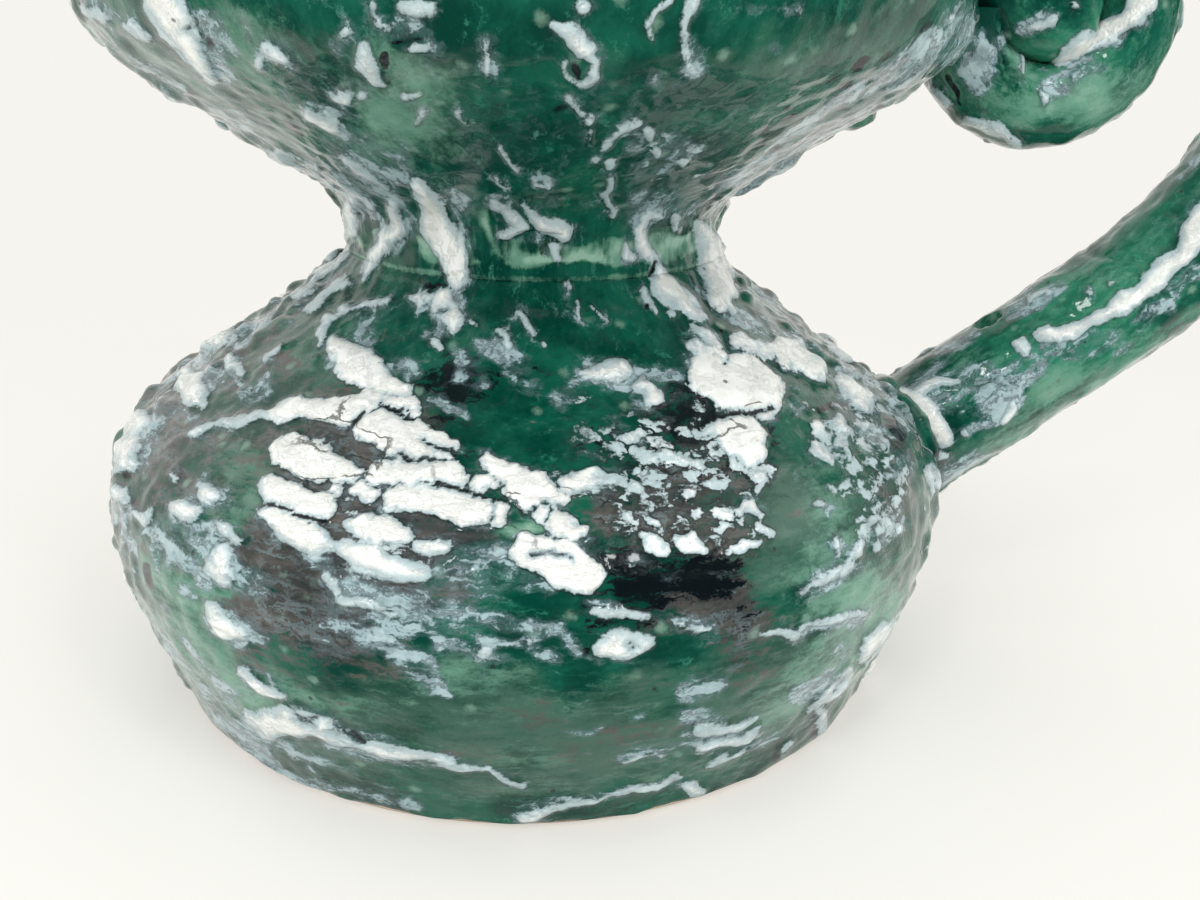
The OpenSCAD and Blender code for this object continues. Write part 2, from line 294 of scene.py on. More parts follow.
# %% White curds on the belly's flanks and at the foot
flank_curds = [
    (186, 378, 16, 196, 391, 30, 202, 402, 12), (232, 366, 10, 245, 372, 9), (270, 357, 10, 282, 352, 7),
    (130, 405, 8, 136, 420, 22, 130, 432, 10), (128, 448, 26, 131, 462, 24, 125, 470, 10),
    (125, 492, 16, 128, 500, 8), (148, 516, 13, 140, 512, 6), (203, 488, 12, 208, 498, 16),
    (182, 508, 16, 195, 515, 20), (172, 475, 8), (226, 530, 14, 240, 540, 8),
    (222, 556, 22, 228, 577, 16, 212, 565, 14), (195, 433, 8, 216, 427, 4, 240, 422, 9),
    (240, 422, 9, 262, 414, 9, 276, 418, 8), (214, 610, 20, 222, 628, 24, 240, 636, 12),
    (208, 348, 12, 235, 338, 8), (828, 345, 8, 846, 360, 8), (838, 380, 10, 852, 392, 20, 868, 406, 14),
    (816, 430, 10, 825, 441, 9), (835, 425, 16, 845, 434, 10), (815, 450, 11, 830, 460, 11),
    (846, 452, 10, 850, 460, 6), (866, 428, 9), (880, 446, 7), (888, 458, 7), (902, 492, 7),
    (876, 503, 6), (872, 520, 8), (880, 532, 9), (894, 528, 12), (878, 546, 9), (893, 548, 7),
    (853, 556, 11, 862, 545, 6), (850, 562, 6, 830, 576, 7, 800, 593, 1), (820, 508, 8),
    (833, 541, 7, 836, 551, 3), (757, 634, 4, 777, 630, 9, 793, 633, 9),
    (800, 625, 4, 830, 617, 5, 862, 612, 6), (885, 622, 8, 872, 642, 20, 862, 655, 13),
    (848, 668, 6, 835, 690, 7, 815, 703, 6), (818, 715, 18, 820, 730, 13), (790, 742, 6, 783, 752, 6),
    (916, 404, 24, 934, 430, 20), (933, 470, 10, 937, 488, 8),
]
foot_curds = [
    (246, 670, 12, 262, 686, 20, 283, 694, 9), (250, 714, 10, 274, 722, 28, 300, 722, 30, 328, 722, 10),
    (300, 724, 18, 340, 736, 8, 362, 740, 9, 386, 751, 12, 410, 755, 13, 440, 757, 9, 470, 766, 5, 490,
     770, 2), (494, 772, 5, 510, 780, 6, 524, 785, 2), (485, 652, 12), (530, 645, 6),
    (690, 788, 11, 697, 792, 13),
    (522, 818, 11, 535, 816, 12, 548, 812, 8, 560, 805, 8, 580, 798, 5, 605, 792, 4, 630, 784, 5, 660,
     783, 4, 682, 776, 2), (625, 760, 2, 640, 755, 5, 660, 757, 2),
    (700, 746, 11, 735, 742, 6, 760, 728, 2), (700, 728, 9, 730, 725, 11, 757, 718, 4),
    (710, 762, 2, 735, 755, 4, 755, 745, 2), (680, 622, 2, 700, 625, 4, 713, 630, 2),
]
print(len(flank_curds), "curds on the flanks,", len(foot_curds), "at the foot")

# %% White curds and drips on the waist and the bowl, and a streak of painted sheen
waist_curds = [
    (420, 186, 16, 433, 205, 28, 442, 232, 32, 452, 258, 30, 456, 280, 24), (350, 208, 12, 354, 235, 10),
    (391, 204, 8, 397, 224, 16, 385, 245, 14, 372, 262, 11, 362, 280, 6),
    (350, 250, 6, 320, 280, 8, 300, 298, 6), (348, 278, 6, 330, 292, 7, 312, 308, 7),
    (342, 310, 6, 365, 303, 5, 394, 302, 6), (330, 318, 9, 325, 335, 9, 320, 346, 4),
    (412, 300, 11, 425, 296, 11), (440, 300, 22, 452, 315, 20, 452, 328, 11), (435, 342, 6, 440, 350, 7),
    (494, 204, 6, 508, 212, 8, 522, 224, 14), (505, 234, 11, 520, 226, 12),
    (525, 206, 6, 540, 222, 14, 562, 231, 18), (555, 248, 10, 556, 262, 5),
    (516, 314, 6, 528, 330, 8, 534, 335, 2), (498, 337, 7, 507, 349, 4), (566, 282, 4, 571, 290, 2),
    (582, 302, 3, 582, 320, 2), (592, 308, 3, 605, 322, 2), (470, 319, 3, 478, 324, 2), (545, 345, 4),
    (660, 214, 6, 645, 215, 9, 638, 230, 14, 642, 250, 14, 652, 262, 6), (622, 245, 5, 625, 255, 10),
    (653, 268, 13, 665, 285, 26, 682, 302, 20, 702, 320, 10), (645, 290, 4, 655, 310, 4), (668, 312, 8),
    (690, 326, 6, 716, 346, 6), (700, 225, 11, 705, 245, 22, 715, 275, 34, 722, 296, 28, 722, 308, 10),
    (678, 215, 6, 676, 230, 5), (690, 346, 9, 706, 353, 6), (736, 342, 8, 752, 350, 15, 770, 355, 10),
    (776, 342, 10, 792, 352, 24, 812, 366, 13), (726, 300, 6, 735, 312, 5),
]
bowl_curds_and_sheen = [
    (162, 0, 33, 176, 24, 33, 192, 48, 22, 206, 70, 15, 216, 82, 7), (88, 6, 9, 106, 18, 9),
    (128, 26, 8, 144, 37, 7), (270, 48, 9, 285, 58, 12), (261, 64, 8), (345, 92, 15), (359, 92, 8),
    (405, 94, 4, 420, 90, 7), (345, 32, 7), (312, 110, 9, 336, 122, 13), (405, 4, 12, 430, 5, 15),
    (372, 8, 8, 373, 22, 8, 388, 30, 9), (412, 46, 10, 428, 46, 7),
    (362, 46, 8, 366, 64, 19, 374, 78, 15, 386, 82, 5), (425, 108, 3, 418, 122, 2),
    (458, 114, 3, 465, 125, 1), (345, 160, 4, 370, 175, 8, 385, 185, 4),
    # Painted sheen: the stroke from (278, 150) to (300, 166) is a pale streak low on the bowl's left flank.
    (320, 165, 3, 350, 190, 4, 375, 205, 3), (278, 150, 8, 300, 166, 9),
    (553, 24, 7, 567, 29, 18, 586, 47, 19),
    (566, 62, 5, 567, 76, 6, 580, 86, 7, 597, 78, 8, 598, 64, 6, 590, 57, 5), (584, 4, 15),
    (563, 97, 3, 578, 112, 3), (588, 119, 11), (590, 130, 3, 592, 142, 3), (597, 156, 10), (612, 163, 8),
    (612, 180, 5, 606, 198, 6, 612, 212, 3), (605, 145, 3, 620, 132, 5, 638, 123, 5),
    (500, 142, 3, 508, 152, 5, 518, 165, 4), (485, 40, 2, 487, 70, 2), (498, 173, 3, 503, 186, 3),
    (535, 178, 2, 548, 186, 2), (648, 135, 12), (655, 150, 8), (685, 160, 12),
    (672, 0, 7, 656, 10, 7, 648, 25, 5, 652, 40, 2), (691, 4, 9, 684, 25, 7, 682, 45, 5, 690, 65, 5),
    (690, 65, 5, 698, 72, 2), (798, 11, 5), (950, 15, 7),
]
print(len(waist_curds), "curds at the waist,", len(bowl_curds_and_sheen), "on the bowl")

# %% Curds and film on the handle and the scroll
handle_curds = [
    (1038, 333, 8, 1052, 333, 15, 1082, 328, 11, 1109, 312, 12, 1136, 295, 20, 1159, 275, 22, 1180, 258,
     16, 1200, 222, 30), (1022, 345, 14), (905, 396, 20, 925, 418, 28, 942, 436, 22),
    (918, 392, 12, 938, 384, 12, 958, 380, 6), (965, 432, 6), (1088, 293, 7), (1113, 284, 4),
    (1006, 418, 10, 1013, 405, 6), (945, 455, 10), (1030, 300, 5, 1055, 291, 5),
]
scroll_curds = [
    (1060, 63, 14, 1077, 47, 24, 1103, 37, 20, 1133, 13, 22, 1143, 0, 24), (1036, 28, 6, 1050, 23, 9),
    (1072, 7, 8), (1044, 98, 7), (968, 118, 10, 995, 127, 12, 1016, 136, 8), (935, 90, 8, 950, 102, 8),
    (1020, 60, 3, 1024, 76, 3),
]
handle_film = [
    (912, 400, 34, 935, 390, 40, 960, 380, 34, 990, 372, 24),
    (985, 398, 30, 1010, 380, 36, 1035, 362, 32), (1000, 415, 24, 1015, 400, 22),
    (966, 432, 14, 985, 425, 12), (1050, 345, 30, 1080, 345, 30), (1095, 345, 32, 1125, 340, 26),
    (1140, 325, 26, 1165, 305, 24), (1175, 285, 26, 1198, 268, 28),
    (1008, 312, 18, 1035, 298, 20, 1062, 287, 14), (940, 355, 16, 975, 335, 14),
    (945, 480, 18, 965, 465, 16, 980, 455, 10), (1180, 175, 14, 1198, 158, 16),
]
scroll_film = [
    (975, 75, 38, 985, 55, 36, 1000, 42, 22), (965, 115, 20, 990, 125, 22, 1020, 136, 16),
    (932, 80, 18, 948, 98, 20), (1055, 90, 26, 1080, 75, 24, 1095, 65, 22), (1044, 98, 16),
    (1015, 60, 12, 1022, 80, 12), (1025, 28, 16, 1045, 22, 20), (1118, 40, 22, 1135, 15, 20),
]
print("Strokes on handle and scroll:", len(handle_curds + handle_film), len(scroll_curds + scroll_film))

# %% [markdown]
# Round and between the white curds lies a bluish film, where the curd half melted into the green. It gets
# strokes of its own. A few film strokes are painted sheen on the bowl's flanks. Cracks and pits are strokes
# too, and cut into the curds.

# %% Bluish film on the body, with painted sheen on the bowl's flanks
film_and_sheen_strokes = [
    (95, 5, 28, 115, 22, 26, 142, 38, 16), (205, 25, 44, 222, 60, 40, 228, 80, 20),
    (240, 15, 16, 248, 35, 20), (262, 62, 16, 264, 80, 10), (312, 108, 14, 335, 122, 24, 345, 132, 12),
    (240, 105, 12, 262, 122, 10), (285, 95, 12), (372, 12, 20, 385, 30, 18, 410, 35, 36, 432, 45, 22),
    (340, 45, 26, 350, 35, 14), (430, 62, 8, 436, 80, 6), (360, 90, 20), (550, 22, 20, 556, 40, 14),
    (566, 70, 14, 578, 88, 14, 598, 78, 16), (597, 160, 24, 610, 170, 22), (610, 170, 22, 606, 195, 16),
    (630, 140, 30, 680, 150, 40, 640, 170, 20), (345, 160, 14, 380, 185, 22),
    (330, 190, 16, 370, 212, 20), (650, 72, 18), (750, 10, 10, 775, 8, 10, 800, 12, 10), (772, 48, 16),
    (640, 210, 40, 690, 205, 30), (690, 225, 14),
    # Painted sheen: the next stroke lays pale film along the bowl's right flank, where the white room is
    # mirrored.
    (722, 190, 26, 800, 138, 36, 870, 90, 40, 940, 44, 36, 1000, 12, 26),
    # Painted sheen: the first stroke here, from (100, 40) to (320, 180), lays pale film along the bowl's left
    # flank.
    (100, 40, 10, 180, 85, 12, 250, 130, 14, 320, 180, 12), (458, 205, 28, 463, 238, 24),
    (402, 225, 20, 395, 250, 12), (450, 310, 40, 440, 335, 14), (428, 330, 14, 440, 352, 12),
    (400, 365, 26, 418, 378, 14), (456, 352, 20, 470, 372, 36, 483, 388, 18),
    (478, 340, 12, 500, 355, 28, 518, 368, 38, 540, 382, 12), (520, 378, 6, 540, 382, 4),
    (475, 345, 16, 495, 352, 10), (365, 335, 30), (520, 228, 34, 560, 240, 30), (552, 252, 24),
    (600, 370, 34, 640, 378, 22, 680, 378, 20), (565, 395, 30), (640, 230, 26, 648, 262, 14),
    (690, 330, 16, 720, 345, 12), (730, 312, 22, 760, 330, 20), (655, 395, 22, 640, 390, 16),
    (178, 380, 22, 205, 385, 30), (235, 370, 18, 245, 385, 12), (272, 358, 20, 270, 390, 14),
    (205, 492, 24, 190, 512, 28), (200, 528, 16, 225, 532, 26, 240, 540, 14),
    (205, 550, 28, 225, 565, 40), (150, 530, 22, 170, 560, 36, 200, 590, 36),
    (125, 500, 24, 130, 540, 22, 135, 570, 14), (215, 615, 36, 235, 635, 34),
    (160, 610, 22, 175, 640, 24, 205, 670, 22), (205, 670, 22, 235, 700, 22),
    (255, 680, 30, 280, 695, 24), (200, 690, 20, 230, 730, 26, 260, 760, 22, 300, 780, 20),
    (300, 780, 20, 360, 795, 16, 420, 805, 12), (345, 590, 30, 380, 605, 32, 410, 605, 24),
    (380, 640, 24, 420, 665, 28), (400, 600, 26, 440, 605, 34, 470, 600, 20),
    (440, 575, 36, 480, 580, 36, 520, 575, 26), (485, 655, 32, 485, 672, 24),
    (480, 635, 14, 510, 645, 12, 540, 640, 12), (420, 660, 28, 445, 695, 14), (525, 585, 16),
    (560, 615, 12, 645, 612, 12), (570, 640, 18, 580, 655, 18, 600, 660, 18), (575, 690, 12),
    (500, 700, 6, 570, 695, 5), (460, 715, 4, 520, 715, 4), (570, 735, 8, 640, 720, 8),
    (690, 690, 34, 720, 680, 24, 740, 665, 14), (690, 725, 28, 720, 725, 24, 755, 718, 14),
    (700, 745, 20, 740, 740, 14, 765, 722, 8), (800, 690, 26, 830, 670, 18, 845, 650, 12),
    (870, 640, 30, 850, 612, 18), (755, 634, 12, 793, 632, 16, 862, 612, 12),
    (790, 395, 24, 800, 410, 16), (840, 385, 26, 862, 402, 26), (830, 440, 44), (875, 440, 40),
    (885, 520, 50), (900, 470, 40), (250, 725, 40, 300, 725, 40, 400, 752, 24),
    (498, 556, 20, 545, 588, 26), (462, 612, 28, 515, 622, 28, 560, 628, 20),
    (440, 642, 20, 498, 662, 24), (520, 646, 22, 556, 662, 20), (640, 560, 24, 678, 572, 26),
    (692, 574, 16, 735, 576, 14), (585, 602, 14, 628, 612, 18), (612, 425, 26, 640, 445, 18),
    (655, 385, 24, 690, 400, 16), (640, 405, 20, 668, 425, 12), (585, 455, 22, 622, 470, 24),
    (430, 395, 10, 470, 420, 12), (150, 420, 30, 140, 460, 26), (230, 345, 20, 300, 305, 16),
    (760, 320, 14, 850, 372, 18, 890, 400, 14),
]
print(len(film_and_sheen_strokes), "strokes of film")

# %% Cracks and pits, and painted shade in the scroll's crease
cracks = [
    (380, 405, 4, 415, 420, 3), (420, 438, 3, 455, 457, 4), (398, 455, 3, 415, 462, 4),
    (440, 485, 4, 490, 500, 3), (365, 415, 3, 350, 430, 4), (530, 555, 4, 572, 558, 4),
    (270, 505, 4, 325, 525, 4), (715, 418, 5, 772, 410, 4), (425, 288, 5, 448, 286, 5),
    (655, 262, 5, 648, 275, 5), (572, 68, 7, 579, 78, 5), (395, 42, 5, 420, 38, 5),
    (128, 475, 6, 134, 478, 5), (135, 503, 9, 137, 508, 9), (146, 566, 6, 147, 580, 8, 152, 591, 4),
    (187, 90, 7, 191, 97, 5), (296, 177, 7), (345, 200, 7), (440, 313, 5, 446, 313, 4), (430, 293, 5),
    (385, 54, 9, 384, 66, 8), (425, 18, 5, 427, 25, 3), (330, 725, 3, 350, 731, 4, 365, 741, 4),
    (298, 712, 4, 316, 719, 4), (885, 418, 5, 893, 428, 7, 898, 440, 5), (905, 475, 5), (888, 535, 3),
    (895, 546, 4), (855, 563, 5), (632, 641, 5), (585, 655, 8), (811, 710, 5, 809, 736, 5),
    (780, 742, 5, 775, 758, 6), (440, 278, 4), (648, 305, 5), (758, 312, 6), (778, 322, 5), (802, 335, 5),
    (720, 330, 6), (820, 410, 4, 850, 404, 4), (190, 26, 5), (207, 42, 6, 209, 50, 4),
    (286, 122, 6, 300, 134, 6), (322, 172, 8, 332, 180, 6), (858, 69, 6, 866, 63, 5),
    (784, 117, 5, 793, 112, 6), (843, 90, 5, 851, 85, 4), (838, 104, 5, 847, 98, 5),
    (871, 107, 4, 879, 102, 5), (911, 72, 5, 919, 67, 5), (772, 150, 5, 779, 145, 5),
    (750, 168, 4, 758, 163, 4), (716, 196, 3, 722, 182, 3), (921, 33, 4, 929, 25, 4),
    (829, 82, 3, 838, 76, 3), (884, 58, 3, 891, 50, 3), (809, 99, 3, 817, 93, 3),
    # Painted shade: the stroke from (948, 78) to (962, 108) darkens the crease where the scroll meets the
    # bowl.
    (759, 130, 3, 767, 125, 3), (948, 78, 3, 958, 95, 3, 962, 108, 2),
]
print(len(cracks), "cracks and pits")

# %% [markdown]
# ## Zones of tone
#
# Between the curds the glaze changes its tone over larger patches: black and brown where it broke, olive
# and sea green where it is thin, veiled where curd half melted, crisp where the curds kept sharp edges.
# Each patch is a soft oval spot, and the spots of one tone add up. Noise bends them later, so no oval
# stays to be seen. A few pale spots are painted highlight and sheen.

# %% Where the glaze broke: x, y, half width, half height and weight of each spot
black_zones = [
    (462, 392, 56, 26, 1.0), (893, 428, 16, 18, 0.7), (548, 92, 14, 12, 0.8), (690, 412, 50, 32, 0.75),
    (655, 578, 80, 40, 1.15), (715, 622, 52, 36, 0.4), (720, 440, 60, 50, 0.45), (610, 440, 40, 26, 0.5),
    (540, 240, 14, 14, 0.5),
]
brown_zones = [
    (365, 465, 95, 75, 1.2), (335, 505, 70, 55, 0.5), (425, 540, 60, 24, 0.7), (560, 740, 160, 45, 0.35),
    (320, 600, 115, 62, 1), (715, 625, 62, 52, 1), (690, 495, 75, 60, 0.9), (165, 450, 45, 95, 0.8),
    (900, 460, 35, 65, 0.6), (240, 350, 80, 50, 0.6), (600, 500, 35, 25, 0.7),
]
print(len(black_zones), "black spots,", len(brown_zones), "brown")

# %% Where it is thin or veiled, and pale spots of painted highlight and sheen
pale_and_painted_light_zones = [
    (180, 600, 70, 90, 0.8), (235, 690, 60, 50, 0.7), (486, 230, 12, 38, 1.1), (240, 480, 45, 65, 0.45),
    (830, 520, 60, 80, 0.35), (380, 700, 140, 38, 0.4), (520, 690, 130, 42, 0.3),
    (280, 60, 200, 95, 0.35), (410, 115, 75, 42, 0.6), (855, 610, 60, 60, 0.8), (800, 685, 60, 40, 0.7),
    (590, 770, 180, 30, 0.5), (510, 535, 50, 14, 1.2), (330, 330, 70, 40, 0.4), (290, 375, 40, 25, 0.6),
    # Painted highlights: the spots at (1090, 80) and (1013, 62) make the scroll paler where it catches the
    # light.
    (1065, 388, 90, 26, 0.6), (1140, 335, 60, 25, 0.5), (1090, 80, 45, 20, 0.6), (1013, 62, 20, 22, 0.6),
    # Painted sheen: the spot at (870, 60) makes the bowl's right flank paler.
    (870, 60, 90, 60, 0.3), (1120, 280, 50, 20, 0.4), (1150, 60, 30, 60, 0.4), (1040, 100, 90, 40, 0.4),
    (1000, 440, 60, 30, 0.5),
]
veil_zones = [
    (420, 565, 110, 45, 0.6), (490, 370, 70, 36, 0.5), (330, 620, 120, 45, 0.6), (640, 645, 75, 36, 0.6),
    (870, 450, 60, 80, 0.6), (200, 560, 60, 85, 0.8), (480, 610, 90, 50, 0.5), (250, 100, 190, 110, 0.25),
    (720, 60, 150, 60, 0.35), (640, 160, 90, 50, 0.6), (360, 190, 60, 50, 0.8), (370, 340, 60, 40, 0.6),
    (220, 390, 75, 60, 0.7), (300, 745, 140, 40, 0.7), (700, 740, 90, 40, 0.7), (400, 40, 60, 45, 0.8),
    (940, 392, 36, 34, 1), (1020, 372, 36, 24, 0.9), (1040, 300, 36, 16, 0.9), (1190, 235, 25, 20, 0.8),
    (982, 60, 28, 40, 0.9), (1090, 50, 60, 40, 0.5), (1070, 345, 50, 16, 0.5), (720, 290, 40, 60, 0.7),
    (560, 232, 60, 20, 0.5), (440, 250, 40, 60, 0.5),
]
olive_zones = [
    (560, 740, 200, 60, 0.9), (800, 540, 55, 70, 0.55), (775, 490, 40, 90, 0.5), (330, 700, 110, 60, 0.5),
    (760, 680, 80, 60, 0.6), (420, 110, 55, 40, 0.8), (850, 60, 120, 60, 0.45), (300, 60, 160, 80, 0.25),
    (150, 60, 80, 60, 0.25),
]
print(len(pale_and_painted_light_zones), "pale spots,", len(veil_zones), "veiled,", len(olive_zones), "olive")

# %% Where curds are flaked or crisp, and where the green is bright, partly as painted highlight
flake_zones = [
    (695, 486, 90, 56, 0.85), (640, 432, 60, 32, 0.4), (615, 470, 45, 28, 0.2), (695, 535, 75, 26, 0.2),
    (560, 415, 50, 26, 0.2), (700, 575, 50, 14, 0.35), (632, 566, 30, 10, 0.35), (860, 440, 45, 55, 0.7),
    (890, 510, 30, 50, 0.7), (390, 545, 60, 40, 0.4), (650, 155, 70, 40, 0.5),
]
crisp_zones = [
    (385, 455, 130, 88, 1.5), (740, 410, 70, 75, 1.4), (560, 530, 75, 70, 1.2), (690, 490, 110, 80, 1),
    (1090, 320, 130, 90, 0.3), (1060, 60, 110, 70, 0.3),
]
# Bright green is partly the glaze's own tone and partly painted highlight, strongest on the handle and the
# scroll.
bright_and_lit_zones = [
    (490, 640, 100, 50, 0.6), (215, 465, 40, 40, 0.5), (260, 60, 160, 80, 0.5), (790, 80, 100, 70, 0.35),
    (1060, 350, 130, 90, 1.0), (1150, 260, 60, 90, 0.6), (1060, 60, 90, 80, 1.0),
]
print(len(flake_zones), "flaked spots,", len(crisp_zones), "crisp,", len(bright_and_lit_zones), "bright")

# %% Fields of tone
# Each field has its zones, then the two noise levels and the seed that stand in for them on unseen sides.
zones_of = {
    "black": (black_zones, 0.4, 0.62, 12),
    "brown": (brown_zones, 0.28, 0.55, 13),
    "olive": (olive_zones, -0.1, 0.5, 19),
    "pale": (pale_and_painted_light_zones, 0.0, 0.5, 14),
    "veil": (veil_zones, 0.0, 0.6, 15),
    "flakes": (flake_zones, 0.4, 1.0, 16),
    "crisp": (crisp_zones, 0.0, 0.3, 17),
    "bright": (bright_and_lit_zones, 0.1, 0.6, 26),
}
fields_kept = ("curd", "film", "crest", *zones_of)
print(sum(len(zones) for zones, *_ in zones_of.values()), "zones of tone in", len(zones_of), "fields")

# %% [markdown]
# ## From strokes to fields
#
# A field gives one number for every point of a grid. The most useful one says how many millimetres a
# point lies inside a curd, and is negative outside. A sharp edge needs no fine mesh then: the material
# finds where the field passes zero, between the points too. On the sides that no photograph shows, noise
# with the same scale and cover lays the curds, and the two meet where the body turns away.

# %% Noise and soft steps
seed_step = 31.7


def soft(points, size, octaves=3, seed=0):
    """Smooth noise around zero with lumps about `size` mm across."""
    spots = (points / size + seed_step * seed).tolist()
    return np.array([noise.fractal(spot, 1.0, 2.0, octaves) for spot in spots])


def rise(low, high, value):
    """A soft step from 0 below `low` to 1 above `high`."""
    share = np.clip((value - low) / (high - low), 0, 1)
    return share * share * (3 - 2 * share)


print("Noise at the foot of the axis:", soft(np.zeros((1, 3)), 1))

# %% Strokes and zones as fields
far_outside = -40.0


def inside_strokes(x, y, strokes):
    """Pixels that each place lies inside its nearest stroke, and inside the one after that."""
    best = np.full(len(x), far_outside)
    second = best.copy()
    for stroke in strokes:
        spots = np.reshape(stroke, (-1, 3)).astype(float)
        low, high = spots.min(axis=0) + far_outside, spots.max(axis=0) - far_outside
        near = np.flatnonzero((x > low[0]) & (x < high[0]) & (y > low[1]) & (y < high[1]))
        depth = np.full(len(near), far_outside)
        for (x0, y0, w0), (x1, y1, w1) in zip(spots, spots[1:] if len(spots) > 1 else spots):
            wx, wy = x1 - x0, y1 - y0
            share = ((x[near] - x0) * wx + (y[near] - y0) * wy) / max(wx * wx + wy * wy, 1)
            share = np.clip(share, 0, 1)
            gap = np.hypot(x[near] - x0 - share * wx, y[near] - y0 - share * wy)
            depth = np.maximum(depth, (w0 + share * (w1 - w0)) / 2 - gap)
        second[near] = np.maximum(second[near], np.minimum(best[near], depth))
        best[near] = np.maximum(best[near], depth)
    return best, second


def inside_zones(x, y, zones):
    """Sum of soft oval spots."""
    total = 0
    for across, down, half_w, half_h, weight in zones:
        total = total + weight * np.exp(-((x - across) / half_w) ** 2 - ((y - down) / half_h) ** 2)
    return total


# %% What the photograph shows
photo_margin = 40
turning_away = 0.06


def sight_of(points, out, look):
    """Place in the photograph, mm per pixel there, how squarely a point faces the eye, and if it shows."""
    sight = eye - points
    facing = np.sum(out * sight, axis=1) / np.linalg.norm(sight, axis=1)
    x, y, depth = to_pixels(points)
    in_frame = rise(-photo_margin, 0, y) * (x < photo_w + photo_margin)
    seen = rise(-turning_away, turning_away, facing) * in_frame * (look != "plain")
    return x, y, depth / lens_px, facing, seen


# %% Curds where no photograph helps
belly_top, belly_fade = 98, 14
lying = (0.55, 0.55, 1.25)
hanging = (1.15, 1.15, 0.5)
blob_size, patch_size = 12, 48


def wild_cover(points):
    """Noise in blobs, which lie on the belly and hang above it, and in the patches that they gather in."""
    upper = rise(belly_top, belly_top + belly_fade, points[:, 2])
    on_belly = soft(points * lying, blob_size, 4, 1)
    above_it = soft(points * hanging, blob_size, 4, 2)
    return (1 - upper) * on_belly + upper * above_it, soft(points, patch_size, 2, 3)


# %% Depth into curds, film and cracks
body_strokes = belly_curds + flank_curds + foot_curds + waist_curds + bowl_curds_and_sheen
strokes_on = {"body": body_strokes, "handle": handle_curds, "scroll": scroll_curds, "plain": []}
film_on = {"body": film_and_sheen_strokes, "handle": handle_film, "scroll": scroll_film, "plain": []}
bend_px, bend_size = 6, 8
torn_px, brittle_px, torn_size = 1.8, 3.2, 2.6
parting_share, parting_px, whole_px = 0.6, 0.9, 9
spread_px, brittle_spread = 1.2, 0.4
crack_px, crack_size = 5, 5
wild_depth, patch_share, curd_level, film_level = 5.5, 0.6, 0.4, 0.25
unseen_drop, seen_drop = 9, 7


def curds_and_film(points, x, y, scale, seen, look):
    """Depth in mm into curds, bluish film and cracks. Crisp curds are torn, and part at seams."""
    blobs, patches = wild_cover(points)
    brittle = np.clip(inside_zones(x, y, crisp_zones), 0, 1)
    torn = torn_px + brittle_px * brittle
    x_bent = x + bend_px * soft(points, bend_size, 2, 4) + torn * soft(points, torn_size, 3, 5)
    y_bent = y + bend_px * soft(points, bend_size, 2, 6) + torn * soft(points, torn_size, 3, 7)
    best, second = inside_strokes(x_bent, y_bent, strokes_on[look])
    parted = parting_share * (best - second) - parting_px + whole_px * (1 - brittle)
    stroke = np.minimum(best + spread_px * (1 + brittle_spread * brittle), parted) * scale
    laid = wild_depth * (blobs + patch_share * patches - curd_level)
    curd = np.maximum(stroke - unseen_drop * (1 - seen), laid - seen_drop * seen)

    x_crack = x + crack_px * soft(points, crack_size, 2, 8)
    y_crack = y + crack_px * soft(points, crack_size, 2, 9)
    crack = inside_strokes(x_crack, y_crack, cracks)[0] * scale
    curd = np.where(seen > 0.5, np.minimum(curd, -crack), curd)

    film = inside_strokes(x_bent, y_bent, film_on[look])[0] * scale
    wild_film = wild_depth * (blobs + patches - film_level)
    return curd, np.maximum(film - unseen_drop * (1 - seen), wild_film - seen_drop * seen), crack


# %% The pale ridge of the waist
band_z, band_half = 110.5, 2.8
ripple_size, ripple_mm, break_size = 6, 1.6, 14
score_z = [collar_line(0, 1)[row][1] for row in (0, -1)]
score_lift, score_half, score_glint_painted = 0.3, 0.45, 0.8


def waist_band(points):
    """How pale the glaze runs thin on the ridge of the waist, with a painted highlight along the scored line
    below it.
    """
    ripple = soft(points, ripple_size, 3, 25)
    band = rise(band_half + 1, band_half - 0.6, np.abs(points[:, 2] - band_z) + ripple_mm * ripple)
    band *= rise(0.2, -0.1, soft(points, break_size, 2, 18)) * (0.75 + 0.5 * ripple)
    # Painted highlight: a pale line just above the lower scored line.
    band += score_glint_painted * np.exp(-((points[:, 2] - score_z[0] - score_lift) / score_half) ** 2)
    return band


# %% All fields of the glaze on a set of points
zone_bend_px, zone_bend_size = 40, 16
wild_size, wild_weight = 36, 0.9
crest_size = 4.2
crack_and_crease_dark, band_weight, painted_flank_sheen = 1.3, 1.3, 0.5
tube_rough, tube_pale = 0.35, 0.15


